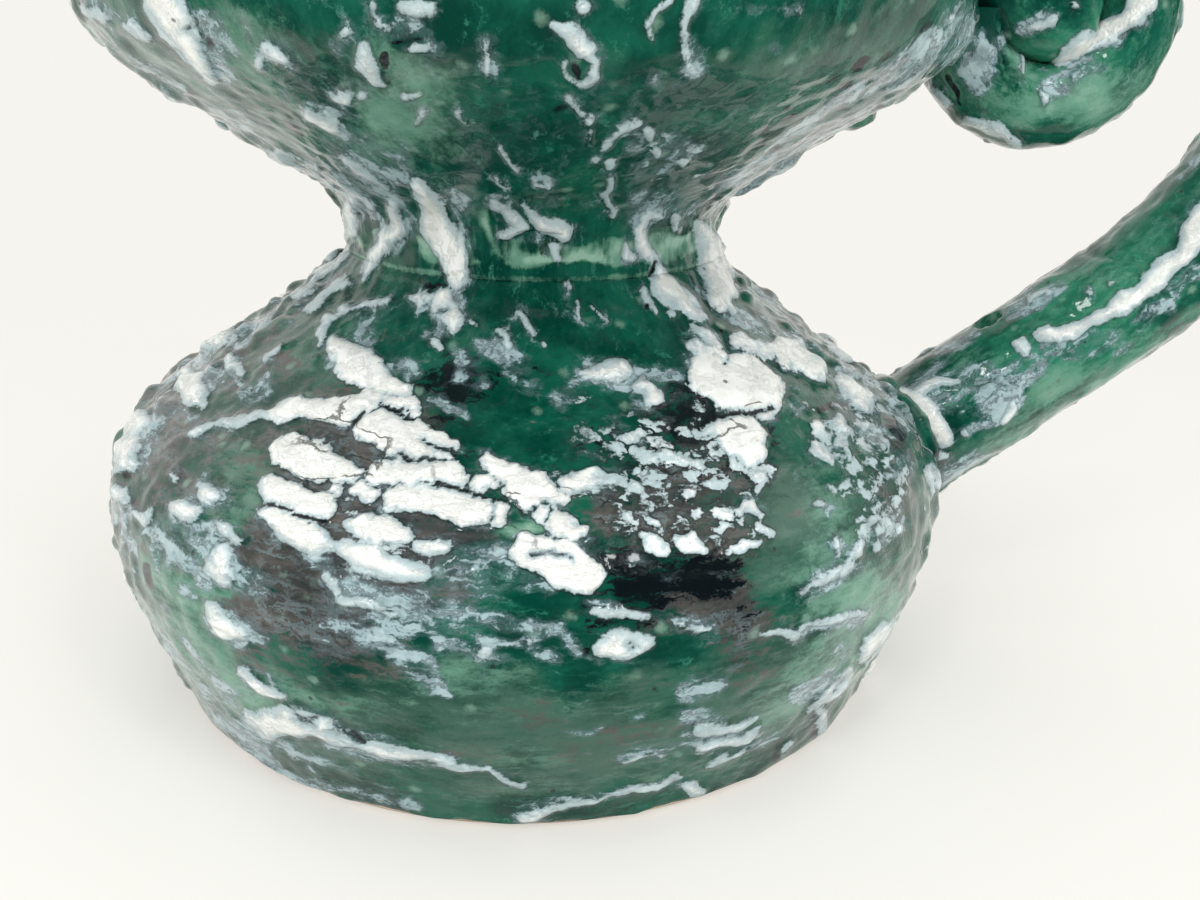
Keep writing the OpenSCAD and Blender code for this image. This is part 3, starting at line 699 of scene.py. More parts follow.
def glaze_fields(points, out, look):
    """Depths, zones of tone and roughness at points with their outward directions."""
    x, y, scale, facing, seen = sight_of(points, out, look)
    curd, film, crack = curds_and_film(points, x, y, scale, seen, look)
    fields = {"curd": curd, "film": film, "crest": soft(points, crest_size, 3, 20)}
    x_zone = x + zone_bend_px * soft(points, zone_bend_size, 3, 10)
    y_zone = y + zone_bend_px * soft(points, zone_bend_size, 3, 11)
    for name, (zones, low, high, seed) in zones_of.items():
        wild = rise(low, high, soft(points, wild_size, 3, seed))
        fields[name] = seen * inside_zones(x_zone, y_zone, zones) + wild_weight * (1 - seen) * wild
    # The crack strokes darken the glaze round them; at the scroll's crease this is painted shade.
    fields["black"] = np.maximum(fields["black"], crack_and_crease_dark * seen * rise(-0.4, 0.4, crack))
    # Painted sheen: the veil grows paler where the surface turns away from the eye, standing in for the white
    # room mirrored at grazing angles.
    fields["veil"] += painted_flank_sheen * seen * rise(0.5, 0.1, facing)
    if look == "body":
        fields["pale"] = np.maximum(fields["pale"], band_weight * waist_band(points))
        radius = np.maximum(np.hypot(points[:, 0], points[:, 1]), 1)
        fields["rough"] = rise(-0.8, -0.25, points[:, 1] / radius)
    else:
        fields["pale"] += tube_pale
        fields["rough"] = np.full(len(points), tube_rough)
    return fields


# %% Height of the glaze
curd_height, curd_full = 1.4, 3.2
knob_height, knob_size = 1.7, 10
wave_height, wave_size = 0.5, 22
ripple_height, short_wave = 0.25, 7
score_width, low_score_depth, high_score_depth = 0.8, 0.5, 0.15


def relief_of(points, fields):
    """Height of the glaze above the clay line, in mm."""
    swell = curd_height * np.sqrt(rise(-0.5, curd_full, fields["curd"]))
    lumps = (0.12 + 0.25 * np.clip(fields["veil"], 0, 1) + 0.15 * fields["rough"]) * fields["crest"]
    knobs = knob_height * fields["rough"] * rise(0.0, 0.6, soft(points, knob_size, 2, 23))
    waves = wave_height * soft(points, wave_size, 2, 21) + ripple_height * soft(points, short_wave, 2, 22)
    low_score, high_score = (np.exp(-((points[:, 2] - z) / score_width) ** 2) for z in score_z)
    return swell + lumps + knobs + waves - low_score_depth * low_score - high_score_depth * high_score


print(f"Scored lines at {score_z[0]:.1f} and {score_z[1]:.1f} mm; curds stand {curd_height} mm proud")

# %% [markdown]
# ## From grids to pieces
#
# One function turns a grid into a finished mesh: it works out the fields, lifts each point by the relief,
# makes the faces and stores the fields as attributes for the material. It also unrolls the grid as a UV
# map, because a grid unrolls for nothing and any later bake then has a clean sheet. Each piece stands for
# its node. Streaks in a glaze follow its flow: level on the belly, where it was wiped round, and falling
# on the bowl. So each point also stores a place in a stretched space, where even noise comes out as such
# streaks.

# %% Space in which noise turns to streaks
flow_low, flow_high = 72, 108
belly_girth, girth_gain = 40, 22
belly_rate, rate_loss = 1.25, 0.9
tube_rate = 0.3
flow_share = rise(flow_low, flow_high, outer_line[:, 1])
flow_girth = belly_girth + girth_gain * flow_share
flow_run = np.cumsum((belly_rate - rate_loss * flow_share) * np.gradient(outer_run))


def body_streaks(points):
    """Streak places on the body: level on the belly, falling on the bowl."""
    radius = np.maximum(np.hypot(points[:, 0], points[:, 1]), 1)
    girth = np.interp(points[:, 2], outer_line[:, 1], flow_girth) / radius
    run = np.interp(points[:, 2], outer_line[:, 1], flow_run)
    return np.column_stack([points[:, 0] * girth, points[:, 1] * girth, run])


def tube_streaks(grid, run):
    """Streak places on a tube: along it."""
    rows, count = grid.shape[:2]
    girth = np.linalg.norm(grid[rows // 2, 0] - grid[rows // 2].mean(axis=0))
    turn = np.broadcast_to(2 * np.pi * np.arange(count) / count, (rows, count))
    length = np.broadcast_to(run[:rows, None], (rows, count))
    return np.stack([girth * np.cos(turn), girth * np.sin(turn), tube_rate * length], axis=-1).reshape(-1, 3)


# %% Faces and their flat layout
def quads_of(rows, count, closed):
    """Corner numbers of the faces between neighbouring rows and columns."""
    low = np.arange(rows if closed else rows - 1)[:, None] * count
    high = (low + count) % (rows * count)
    side = np.arange(count)
    beside = (side + 1) % count
    return np.stack([low + side, low + beside, high + beside, high + side], axis=-1).reshape(-1, 4)


def end_fans(rows, count):
    """Triangles that close the two ends of a tube, each about one point more."""
    tail, nose = rows * count, rows * count + 1
    last = (rows - 1) * count
    fans = []
    for side in range(count):
        beside = (side + 1) % count
        fans += [(tail, beside, side), (nose, last + side, last + beside)]
    return fans


def length_along(grid):
    """Length from the first row to each row, and from the last one back to the first."""
    run = run_along(grid[:, 0])
    return np.append(run, run[-1] + np.linalg.norm(grid[-1, 0] - grid[0, 0]))


def unrolled(quads, count, run):
    """The faces of a grid laid out flat, one UV corner after another."""
    row, column = quads[:, 0] // count, quads[:, 0] % count
    u = np.stack([column, column + 1, column + 1, column], axis=1) / count
    v = np.stack([run[row], run[row], run[row + 1], run[row + 1]], axis=1) / run[-1]
    return np.stack([u, v], axis=-1).reshape(-1, 2)


# %% Finish a mesh and enlist it as a piece
sharp_angle = 70


def finish_mesh(name, points, faces, fields, streaks, uv=None):
    """A smooth mesh object in metres, with the glaze's fields as attributes."""
    mesh = bpy.data.meshes.new(name)
    mesh.from_pydata((points * MM).tolist(), [], faces)
    mesh.shade_smooth()
    if uv is not None:
        mesh.uv_layers.new(name="OFBake").data.foreach_set("uv", np.ravel(uv))
    for key in fields_kept:
        mesh.attributes.new(key, "FLOAT", "POINT").data.foreach_set("value", fields[key])
    mesh.attributes.new("streaks", "FLOAT_VECTOR", "POINT").data.foreach_set("vector", np.ravel(streaks * MM))
    mesh.set_sharp_from_angle(angle=math.radians(sharp_angle))
    piece = bpy.data.objects.new(name, mesh)
    bpy.context.scene.collection.objects.link(piece)
    return piece


def enlist(piece, node, material):
    """Gives a piece its finish and its body, and hides the node that it stands for."""
    piece.data.materials.append(material)
    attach(piece, "root")
    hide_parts(node)
    print(f"{piece.name}: {len(piece.data.vertices)} points, {len(piece.data.polygons)} faces")
    return piece


# %% Build one piece from a grid
def grid_piece(name, grid, cover, look, closed=False, skin=0, extra=0):
    """A piece from a grid. `cover` says, row by row, how much of the relief applies there."""
    rows, count = grid.shape[:2]
    out = outward_of(grid, closed, skin).reshape(-1, 3)
    points = grid.reshape(-1, 3)
    fields = glaze_fields(points, out, look)
    share = np.broadcast_to(np.reshape(cover, (rows, -1)), (rows, count)).ravel()
    lifted = points + out * (share * (relief_of(points, fields) + extra))[:, None]
    run = length_along(grid)
    quads = quads_of(rows, count, closed)
    faces, uv = quads.tolist(), unrolled(quads, count, run)
    if not closed:
        ends = [lifted[:count].mean(axis=0), lifted[-count:].mean(axis=0)]
        lifted = np.concatenate([lifted, ends])
        fields = {key: np.append(value, [value[0], value[-1]]) for key, value in fields.items()}
        faces += end_fans(rows, count)
        uv = np.concatenate([uv, np.zeros((6 * count, 2))])
    if look == "body":
        streaks = body_streaks(lifted)
    else:
        streaks = tube_streaks(grid, run)
        streaks = np.concatenate([streaks, streaks[[0, -1]]])[:len(lifted)]
    return finish_mesh(name, lifted, faces, fields, streaks, uv)


# %% [markdown]
# ## Materials as sums
#
# A node material is arithmetic on sockets, so it reads best as arithmetic. The small class below wraps
# one socket: adding or multiplying two of them adds the Math node that does it, and one method adds any
# other node.

# %% A socket that can be added, multiplied and mixed
def plug(node, values):
    """Sets the sockets of a node to values, or links them to wires."""
    for key, value in values.items():
        if isinstance(value, Wire):
            value.tree.links.new(value.socket, node.inputs[key])
        else:
            node.inputs[key].default_value = value


class Wire:
    """One output socket of a material's node tree."""

    def __init__(self, socket):
        self.socket = socket
        self.tree = socket.id_data

    def node(self, kind, settings, links, out=0):
        """Adds a node: its settings first, then the values or links of its sockets."""
        new = self.tree.nodes.new(kind)
        for key, value in settings.items():
            setattr(new, key, value)
        plug(new, links)
        return Wire(new.outputs[out])

    def math(self, operation, *values):
        return self.node("ShaderNodeMath", {"operation": operation}, dict(enumerate(values)))

    def __add__(self, other):
        return self.math("ADD", self, other)

    def __sub__(self, other):
        return self.math("SUBTRACT", self, other)

    def __rsub__(self, other):
        return self.math("SUBTRACT", other, self)

    def __mul__(self, other):
        return self.math("MULTIPLY", self, other)

    __radd__ = __add__
    __rmul__ = __mul__

    def rise(self, low, high):
        """A soft step from 0 to 1."""
        return self.node("ShaderNodeMapRange", {"interpolation_type": "SMOOTHSTEP"},
                         {"Value": self, "From Min": low, "From Max": high})

    def parts(self):
        """The three numbers of a vector."""
        split = self.node("ShaderNodeSeparateXYZ", {}, {0: self})
        return [Wire(socket) for socket in split.socket.node.outputs]

    def grain(self, scale, detail=3.0, roughness=0.5, out=0):
        """Noise at this place, from 0 to 1."""
        return self.node("ShaderNodeTexNoise", {}, {"Vector": self, "Scale": scale, "Detail": detail,
                                                    "Roughness": roughness}, out)

    def over(self, under, paint):
        """Paint laid over another colour, as thickly as this number says."""
        return self.node("ShaderNodeMix", {"data_type": "RGBA"}, {0: self, 6: under, 7: paint}, 2)


# %% Colours and empty materials
def linear(value):
    """One channel as it looks on screen, 0 to 255, as the light that it stands for."""
    value /= 255
    return value / 12.92 if value <= 0.04045 else ((value + 0.055) / 1.055) ** 2.4


def srgb(red, green, blue):
    """A colour as it looks on screen, as the linear values that a socket takes."""
    return (linear(red), linear(green), linear(blue), 1)


def new_material(name):
    """An empty material with its shader and its place in the object's own space."""
    material = bpy.data.materials.new(name)
    material.use_nodes = True
    shader = material.node_tree.nodes["Principled BSDF"]
    place = Wire(material.node_tree.nodes.new("ShaderNodeTexCoord").outputs["Object"])
    return material, shader, place


print("Half grey as light:", round(linear(128), 3))

# %% [markdown]
# ## The glaze
#
# Read from the clay up, the finish is a deep emerald that thins to sea green, brown and black where the
# glaze broke, a bluish film of half-melted curd, and the white curds themselves, which are blue at their
# thin edges and end in a dark line of pooled glaze and painted shade. Each layer is laid over the one
# below by a mask. The masks come from the fields at the points, sharpened by noise that is finer than
# the mesh. A clear coat over all of it gives the wet shine of molten glass.

# %% Colours of the glaze
deep_green = srgb(2, 58, 47)
mid_green = srgb(20, 92, 73)
glass_green = srgb(60, 136, 112)
bright_and_lit_green = srgb(52, 132, 104)
olive_green = srgb(68, 101, 88)
# Sea green is also laid as painted highlight and sheen, where pale spots stand for light.
sea_green_and_sheen = srgb(104, 150, 130)
dew_green = srgb(146, 182, 164)
brown_break = srgb(46, 51, 51)
brown_pale = srgb(96, 92, 88)
black_break = srgb(9, 17, 21)
# Film blue is also laid as painted sheen where the flanks turn away.
film_and_sheen_blue = srgb(128, 156, 163)
shred_blue = srgb(158, 182, 188)
flake_white = srgb(186, 205, 209)
curd_white = srgb(246, 247, 244)
# Dark of cracks and pits, also laid as painted shade round curds, in the film's hollows and in the scroll's
# crease.
dark_crack_and_shade = srgb(28, 36, 35)

# %% Fields and noises that the layers share
ragged_scale, drift_scale = 800, 300
wisp_scale, lace_scale, cloud_scale, smear_scale = 260, 620, 120, 110
drift_way = (4 * MM,) * 3


def stirred(place, start):
    """Places moved from a start by up to 4 mm of noise, so that what is drawn there flows."""
    stir = place.grain(drift_scale, 3, 0.6, "Color")
    return place.node("ShaderNodeVectorMath", {"operation": "MULTIPLY_ADD"},
                      {0: stir, 1: drift_way, 2: start})


def glaze_wires(place):
    """The stored fields, and the noises finer than the mesh, that the layers of glaze draw on."""
    wire = SimpleNamespace(place=place)
    for name in fields_kept:
        setattr(wire, name, place.node("ShaderNodeAttribute", {"attribute_name": name}, {}, 2))
    wire.streaks = place.node("ShaderNodeAttribute", {"attribute_name": "streaks"}, {}, 1)
    wire.drift = stirred(place, wire.streaks)
    wire.ragged = place.grain(ragged_scale, 3, 0.6) - 0.5
    wire.wisps = wire.drift.grain(wisp_scale, 6, 0.62) - 0.5
    wire.lace = wire.drift.grain(lace_scale, 5, 0.65) - 0.5
    wire.clouds = wire.drift.grain(cloud_scale, 5, 0.5) - 0.5
    wire.smears = wire.streaks.grain(smear_scale, 5, 0.6) - 0.5
    wire.loose = 1 - wire.crisp.rise(0.15, 0.75)
    return wire


# %% Masks of flakes, curds and film
flake_scale = 250
flake_stretch = (0.75, 0.75, 1.3)


def flake_depth(wire):
    """Depth into flakes, which are cells of broken curd that are kept by chance, and each cell's tint."""
    place = wire.place
    squat = place.node("ShaderNodeVectorMath", {"operation": "MULTIPLY"}, {0: place, 1: flake_stretch})
    cells = {"Vector": stirred(place, squat), "Scale": flake_scale}
    cell, tint, _ = place.node("ShaderNodeTexVoronoi", {}, cells, "Color").parts()
    edge = place.node("ShaderNodeTexVoronoi", {"feature": "DISTANCE_TO_EDGE"}, cells)
    cover = (wire.flakes - cell * 0.75 + wire.wisps * 0.8 - 0.2) * 3.0
    return cover.math("MINIMUM", cover, edge * 3.6 - 0.35 + wire.wisps * 2.5 + wire.lace * 1.5), tint


def add_masks(wire):
    """Adds to the wires how deep a place is in a curd, how white it is, and how much film covers it."""
    flake, wire.tint = flake_depth(wire)
    lump = wire.curd + (wire.wisps * 1.9 + wire.lace * 1.1) * wire.loose
    lump = lump + wire.ragged * (0.9 - wire.loose * 0.4)
    wire.depth = lump.math("MAXIMUM", lump, flake + wire.ragged * 0.9)
    wire.white = wire.depth.rise(-0.1, 0.2 + wire.loose * 0.2)
    # The dark rim just outside each curd is partly pooled glaze and partly painted shade under the curd's
    # raised edge.
    wire.outline = wire.depth.rise(-0.55, -0.1) * (1 - wire.white)
    haze = lump.math("MAXIMUM", lump * 0.45 + 0.1, wire.veil * 2.0 - 1.5).rise(-1.2, 1.0)
    wire.haze = haze.math("MAXIMUM", haze, wire.film.rise(-1.6, 1.6) * 0.85)
    shred = wire.clouds * 3.0 + wire.wisps * 1.7 + wire.lace * 1.7 + wire.haze * 1.3 + wire.crest * 0.25
    wire.shred = shred - wire.flakes * 0.4 - wire.black * 0.25 - 0.8
    wire.blur = wire.shred.rise(-0.4, 0.6)
    wire.shreds = wire.shred.rise(0.12, 0.36)
    wire.crease = (wire.wisps * wire.wisps).rise(0.0012, 0.0) * wire.blur


# %% Masks of bubbles and fine cracks
bubble_scale = 170
split_scale, split_spread = 105, 85


def bubble_masks(wire):
    """The pits and the pale flecks that bubbles left."""
    cells = {"Vector": wire.place, "Scale": bubble_scale}
    bubble = wire.place.node("ShaderNodeTexVoronoi", {}, cells, "Distance")
    chance, _, _ = Wire(bubble.socket.node.outputs["Color"]).parts()
    pit = bubble.rise(0.11, 0.06) * chance.rise(0.72, 0.74)
    fleck = (bubble + wire.ragged * 0.3).rise(0.3, 0.05) * chance.rise(0.3, 0.28)
    return pit, fleck


def split_mask(wire):
    """Fine cracks across the crisp curds."""
    cells = {"Vector": wire.drift, "Scale": split_scale}
    edge = wire.place.node("ShaderNodeTexVoronoi", {"feature": "DISTANCE_TO_EDGE"}, cells)
    hairline = (edge + wire.ragged * 0.02).rise(0.035, 0.012)
    return hairline * wire.place.grain(split_spread, 2).rise(0.52, 0.57) * wire.crisp.rise(0.85, 1.1)


# %% Green ground and its breaks
pool_scale = 58


def green_ground(wire):
    """The glaze itself: deep emerald in pools, which thins through olive to sea green, with bright green that
    is partly painted highlight.
    """
    pools = wire.place.grain(pool_scale, 4, 0.55) + wire.smears * 0.6 + wire.lace * 0.35
    green = pools.rise(0.34, 0.7).over(deep_green, mid_green)
    green = ((wire.lace + wire.wisps).rise(0.1, 0.3) * 0.5).over(green, glass_green)
    # Painted highlight in part: bright green where the zones and the noise put it.
    lit_and_bright = wire.bright * 0.75 + wire.smears * 1.2 + wire.lace * 0.6
    green = lit_and_bright.rise(0.2, 1.0).over(green, bright_and_lit_green)
    green = (wire.olive + wire.smears * 1.4 + wire.lace * 0.8).rise(0.1, 1.0).over(green, olive_green)
    green = (wire.pale + wire.smears * 1.6 + wire.lace).rise(0.3, 1.0).over(green, sea_green_and_sheen)
    return ((wire.pale + wire.lace * 0.6).rise(0.85, 1.2) * 0.85).over(green, dew_green)


def with_breaks(wire, ground):
    """Brown and black where the glaze broke, with pale hairs across the brown."""
    umber = (wire.smears * 1.5 + wire.lace + 0.4).rise(0.1, 0.9).over(brown_break, brown_pale)
    worn = wire.brown + wire.smears * 1.6 + wire.lace * 1.4 + wire.wisps
    ground = worn.rise(0.3, 0.75).over(ground, umber)
    hairs = (wire.wisps * wire.wisps).rise(0.002, 0.0) * wire.brown.rise(0.35, 0.8)
    hairs = hairs * wire.smears.rise(-0.1, 0.1)
    ground = (hairs * 0.35).over(ground, film_and_sheen_blue)
    soot = wire.black + (wire.smears * 2.0 + wire.wisps * 2.2 + wire.lace * 2.0) * wire.black.rise(0.02, 0.25)
    return soot.rise(0.3, 0.75).over(ground, black_break)


# %% Film and curds over the ground
def with_film(wire, ground):
    """A blurred bluish film with brighter shreds, painted shade in the hollows between its lumps, and dark
    creases in it.
    """
    colour = (wire.blur * 0.5).over(ground, film_and_sheen_blue)
    tone = (wire.shred + wire.ragged).rise(0.2, 1.2).over(shred_blue, flake_white)
    colour = (wire.shreds * 0.85).over(colour, tone)
    # Painted shade: the film darkens in the low places between its lumps.
    hollow = (0 - wire.crest + wire.ragged).rise(0.15, 0.6) * wire.haze
    colour = (hollow * 0.4).over(colour, dark_crack_and_shade)
    return (wire.crease * 0.5).over(colour, dark_crack_and_shade)


def with_curds(wire, ground):
    """White curds, blue at their thin edges, inside a dark line of pooled glaze and painted shade that is
    stronger round crisp ones.
    """
    # Painted shade in part: the dark line round each curd.
    colour = (wire.outline * (0.6 - wire.loose * 0.45)).over(ground, dark_crack_and_shade)
    body = wire.depth + wire.ragged * 0.8 + wire.clouds * wire.loose * 2 - wire.tint * wire.flakes
    paste = (body - wire.loose * 0.5).rise(-0.1, 1.0 + wire.loose * 0.6)
    return (wire.white * (1 - wire.loose * 0.1)).over(colour, paste.over(flake_white, curd_white))


# %% Glaze material
fine_scale = 1500
bump_strength, bump_mm = 0.8, 0.9
gloss, curd_dulling, film_dulling = 0.09, 0.12, 0.05
glaze_shine = {"Specular IOR Level": 0.22, "Coat Weight": 0.6, "Coat Roughness": 0.06}


def glaze_height(wire, split, pit):
    """Fine relief for the bump: curds and shreds stand up, creases, cracks and pits lie low."""
    height = wire.depth.rise(-0.5, 0.6) * 0.5 + wire.blur * 0.15 + wire.shreds * 0.15
    height = height + wire.place.grain(fine_scale, 3, 0.6) * 0.1 + wire.ragged * 0.2 - wire.crease * 0.2
    return height - split * 0.3 - pit * 0.4


def bump_of(place, strength, distance, height):
    """A bump, which moves no point: heights as shares of a distance in mm."""
    return place.node("ShaderNodeBump", {},
                      {"Strength": strength, "Distance": distance * MM, "Height": height})


def glaze_material():
    material, shader, place = new_material("curdled_green_glaze")
    wire = glaze_wires(place)
    add_masks(wire)
    split = split_mask(wire)
    pit, fleck = bubble_masks(wire)
    colour = (fleck * 0.45).over(with_breaks(wire, green_ground(wire)), dew_green)
    colour = with_curds(wire, with_film(wire, colour))
    colour = (split * 0.75).over(colour, dark_crack_and_shade)
    colour = (pit * 0.7).over(colour, dark_crack_and_shade)
    roughness = gloss + wire.white * curd_dulling + wire.blur * film_dulling
    bump = bump_of(place, bump_strength, bump_mm, glaze_height(wire, split, pit))
    plug(shader, {"Base Color": colour, "Roughness": roughness, "Normal": bump, **glaze_shine})
    return material


glaze = glaze_material()
print("Glaze:", len(glaze.node_tree.nodes), "nodes")


# %% A glazed piece
def glazed(node, grid, cover, look, **shape):
    """A glazed piece in place of a node."""
    return enlist(grid_piece(node + "_glazed", grid, cover, look, **shape), node, glaze)


# %% [markdown]
# ## Bare clay
#
# The underside is wiped clean before firing, or the jug would melt on to the kiln shelf. Fired stoneware
# is a warm buff with iron specks and fine grit, and it is dull.

# %% Clay material
clay_buff = srgb(206, 190, 170)
clay_toast = srgb(176, 150, 124)
iron_speck = srgb(92, 66, 48)
toast_scale, speck_scale, grit_scale = 45, 1100, 2400


def clay_material():
    material, shader, place = new_material("bare_stoneware")
    toasted = place.grain(toast_scale, 4, 0.6).rise(0.35, 0.7)
    specks = place.grain(speck_scale, 2, 0.5).rise(0.66, 0.72)
    grit = place.grain(grit_scale, 3, 0.6)
    colour = (specks * 0.7).over(toasted.over(clay_buff, clay_toast), iron_speck)
    bump = bump_of(place, 0.35, 0.3, grit)
    plug(shader, {"Base Color": colour, "Roughness": 0.72 + grit * 0.2, "Normal": bump})
    return material


clay = clay_material()
print("Clay:", len(clay.node_tree.nodes), "nodes")

# %% [markdown]
# ## Foot, belly, waist and bowl
#
# Each thrown piece is one closed line turned round the axis: up the outside in fine steps, which carry
# the relief, and down the inside in coarse ones. The belly's glaze runs over the edge of the base slab
# and stops just above the floor, where a thin line of bare clay shows.

# %% Foot of the belly
glaze_stop, glaze_coat = 2.3, 0.5
foot_round, foot_top = 9, 30


def foot_line(step):
    """The wall near the floor: the belly's side runs into the slab's in one soft curve."""
    z = np.arange(glaze_stop, foot_top, step)
    side = side_c[0] + np.sqrt(side_turn ** 2 - (side_c[1] - z) ** 2)
    foot = foot_r + glaze_coat
    share = np.clip(0.5 + (side - foot) / (2 * foot_round), 0, 1)
    return np.column_stack([foot + (side - foot) * share + foot_round * share * (1 - share), z])


side_start = -math.degrees(math.asin((belly_z - foot_top) / side_turn))
belly_outside = joined(foot_line(skin_step), belly_line(0, skin_step, side_start))
print(f"The belly's outer line has {len(belly_outside)} points, from {glaze_stop} mm above the floor")

# %% Shells
body_columns = 480
around = columns(body_columns)


def shell(outside, inside):
    """A closed line from an outer and an inner one, and how much of the relief each of its points takes."""
    rows = np.concatenate([outside, inside[::-1]])
    cover = np.r_[np.ones(len(outside)), np.zeros(len(inside))]
    return rows, cover


def shell_piece(node, outside, inside):
    """A turned piece of the body, glazed on its outer line."""
    profile, cover = shell(outside, inside)
    return glazed(node, turned(profile, around), cover, "body", closed=True, skin=len(outside))


# %% Belly, with a glaze edge that wanders
foot_gap = 0.1
edge_cover = (0.2, 0.6, 0.9)
edge_rows = 10
wander_mm, wander_size = 0.8, 12

foot_inside = [(foot_r + foot_gap, glaze_stop), (foot_r + foot_gap, slab_t)]
profile, cover = shell(belly_outside, joined(foot_inside, belly_line(wall, plain_step)))
cover[:len(edge_cover)] = edge_cover
belly_grid = turned(profile, around)
wander = wander_mm * soft(belly_grid[0], wander_size, 3, 24)
for row in range(edge_rows):
    belly_grid[row, :, 2] += wander * (1 - row / edge_rows)
glazed("belly", belly_grid, cover, "body", closed=True, skin=len(belly_outside))

# %% Waist and bowl
shell_piece("waist_collar", collar_line(0, skin_step), collar_line(wall, plain_step))
shell_piece("upper_bowl", bowl_line(0, skin_step), bowl_line(wall, plain_step))

# %% Base slab
slab_bevel = 1.5
bevel_step, side_step = 0.7, 2
bevel_foot, bevel_top = (foot_r - slab_bevel, 0), (foot_r, slab_bevel)

slab_line = joined(line((1, 0), bevel_foot, plain_step),
                   line(bevel_foot, bevel_top, bevel_step),
                   line(bevel_top, (foot_r, slab_t - foot_gap), side_step),
                   line((foot_r - 1, slab_t), (1, slab_t), plain_step))
slab = grid_piece("base_slab_bare", turned(slab_line, around), np.zeros(len(slab_line)), "plain")
enlist(slab, "base_slab", clay)

# %% [markdown]
# ## The pierced gallery
#
# The gallery is what makes the jug a puzzle: a leaning wall with almond windows and eyelets, through
# which the drink would pour. A Boolean could cut it, but would leave knife edges. Here the wall is two
# skins, outside and inside. Faces in a window are dropped, the points along its edge slide on to the
# outline, and near the edge both skins bow towards each other until they meet in a round lip, as
# wet-sponged clay does.

# %% Windows and eyelets as one distance
window_count, window_w, window_h = 10, 20, 34
eyelet_r, eyelet_pitch = 4, 22
window_share = 0.42
window_z = gallery_foot[1] + window_share * gallery_h
almond_r = (window_w ** 2 + window_h ** 2) / (4 * window_w)
pitch_angle = 2 * np.pi / window_count


def beside_axis(angle, radius, first):
    """Distance in mm round the wall from the nearest of the axes that repeat from a first angle."""
    return radius * np.sin((angle - first + pitch_angle / 2) % pitch_angle - pitch_angle / 2)


def beyond_holes(angle, radius, z):
    """Distance in mm from the nearest window or eyelet, negative inside it."""
    beside = np.abs(beside_axis(angle, radius, pitch_angle / 2)) + almond_r - window_w / 2
    window = np.hypot(beside, z - window_z) - almond_r
    pair = np.abs(np.abs(z - window_z) - eyelet_pitch / 2)
    return np.minimum(window, np.hypot(beside_axis(angle, radius, 0), pair) - eyelet_r)


print(f"{window_count} windows at {window_z:.1f} mm, each with two arcs of radius {almond_r:.1f} mm")

# %% Wall with whole faces only, and its edge on the outline
gallery_top = rim_z - 9
gallery_columns, gallery_step = 600, 0.9
dropped_depth = -0.35
slides, nudge, least_slope = 4, 0.05, 0.2


def slid_to_outline(angle, radius, z):
    """Places near a hole, moved along the wall until they lie on its outline."""
    for _ in range(slides):
        here = beyond_holes(angle, radius, z)
        by_turn = (beyond_holes(angle + nudge / radius, radius, z) - here) / nudge
        by_height = (beyond_holes(angle, radius, z + nudge) - here) / nudge
        slope = np.maximum(by_turn ** 2 + by_height ** 2, least_slope)
        angle = angle - here * by_turn / slope / radius
        z = z - here * by_height / slope
        radius = gallery_foot[0] - (z - gallery_foot[1]) * math.tan(lean)
    return angle, radius, z


def pierced_wall():
    """Angle, radius and height of each point, the faces outside all holes, and which points edge a hole."""
    profile = gallery_line(0, gallery_top, gallery_step)
    shape = (len(profile), gallery_columns)
    angle = np.broadcast_to(columns(gallery_columns, 0), shape).flatten()
    radius, z = (np.broadcast_to(profile[:, k:k + 1], shape).flatten() for k in (0, 1))
    corner = quads_of(*shape, False)
    whole = (beyond_holes(angle, radius, z)[corner] > dropped_depth).all(axis=1)
    edge = np.zeros(len(angle), bool)
    edge[np.intersect1d(corner[whole], corner[~whole])] = True
    angle[edge], radius[edge], z[edge] = slid_to_outline(angle[edge], radius[edge], z[edge])
    return angle, radius, z, corner[whole], edge


# %% Gallery piece
lip = 3.2
lip_relief, inner_relief = 0.25, 0.5


def both_sides(kept, edge):
    """Faces of the two skins and of the ends between them. The skins share the points that edge a hole."""
    number = np.arange(len(edge))
    partner = np.where(edge, number, number + len(edge))
    ring = np.arange(gallery_columns)
    beside = np.roll(ring, -1)
    last = len(edge) - gallery_columns
    foot = np.stack([partner[ring], partner[beside], beside, ring], axis=1)
    top = np.stack([last + ring, last + beside, partner[last + beside], partner[last + ring]], axis=1)
    return np.concatenate([kept, partner[kept][:, ::-1], foot, top])


def gallery_piece():
    """The gallery's two skins with the glaze on them, joined by round lips."""
    angle, radius, z, kept, edge = pierced_wall()
    gap = np.where(edge, 0, np.maximum(beyond_holes(angle, radius, z), 0))
    bow = wall / 2 * (1 - np.sqrt(1 - np.clip(1 - gap / lip, 0, 1) ** 2))
    full = np.clip(gap / lip, lip_relief, 1)
    across, along = np.cos(angle), np.sin(angle)
    face = np.column_stack([radius * across, radius * along, z])
    out = np.column_stack([across * gallery_out[0], along * gallery_out[0], 0 * angle + gallery_out[1]])
    fields = glaze_fields(face, out, "body")
    inner_fields = glaze_fields(face - wall * out, -out, "plain")
    outer_skin = face + out * (full * relief_of(face, fields) - bow)[:, None]
    inner_skin = face - out * (wall + inner_relief * full * relief_of(face, inner_fields) - bow)[:, None]
    outer_skin[edge] = face[edge] - wall / 2 * out[edge]
    faces = both_sides(kept, edge)
    used = np.unique(faces)
    points = np.concatenate([outer_skin, inner_skin])[used]
    both = {key: np.concatenate([fields[key], inner_fields[key]])[used] for key in fields_kept}
    faces = np.searchsorted(used, faces).tolist()
    return finish_mesh("pierced_gallery_glazed", points, faces, both, body_streaks(points))


enlist(gallery_piece(), "pierced_gallery", glaze)

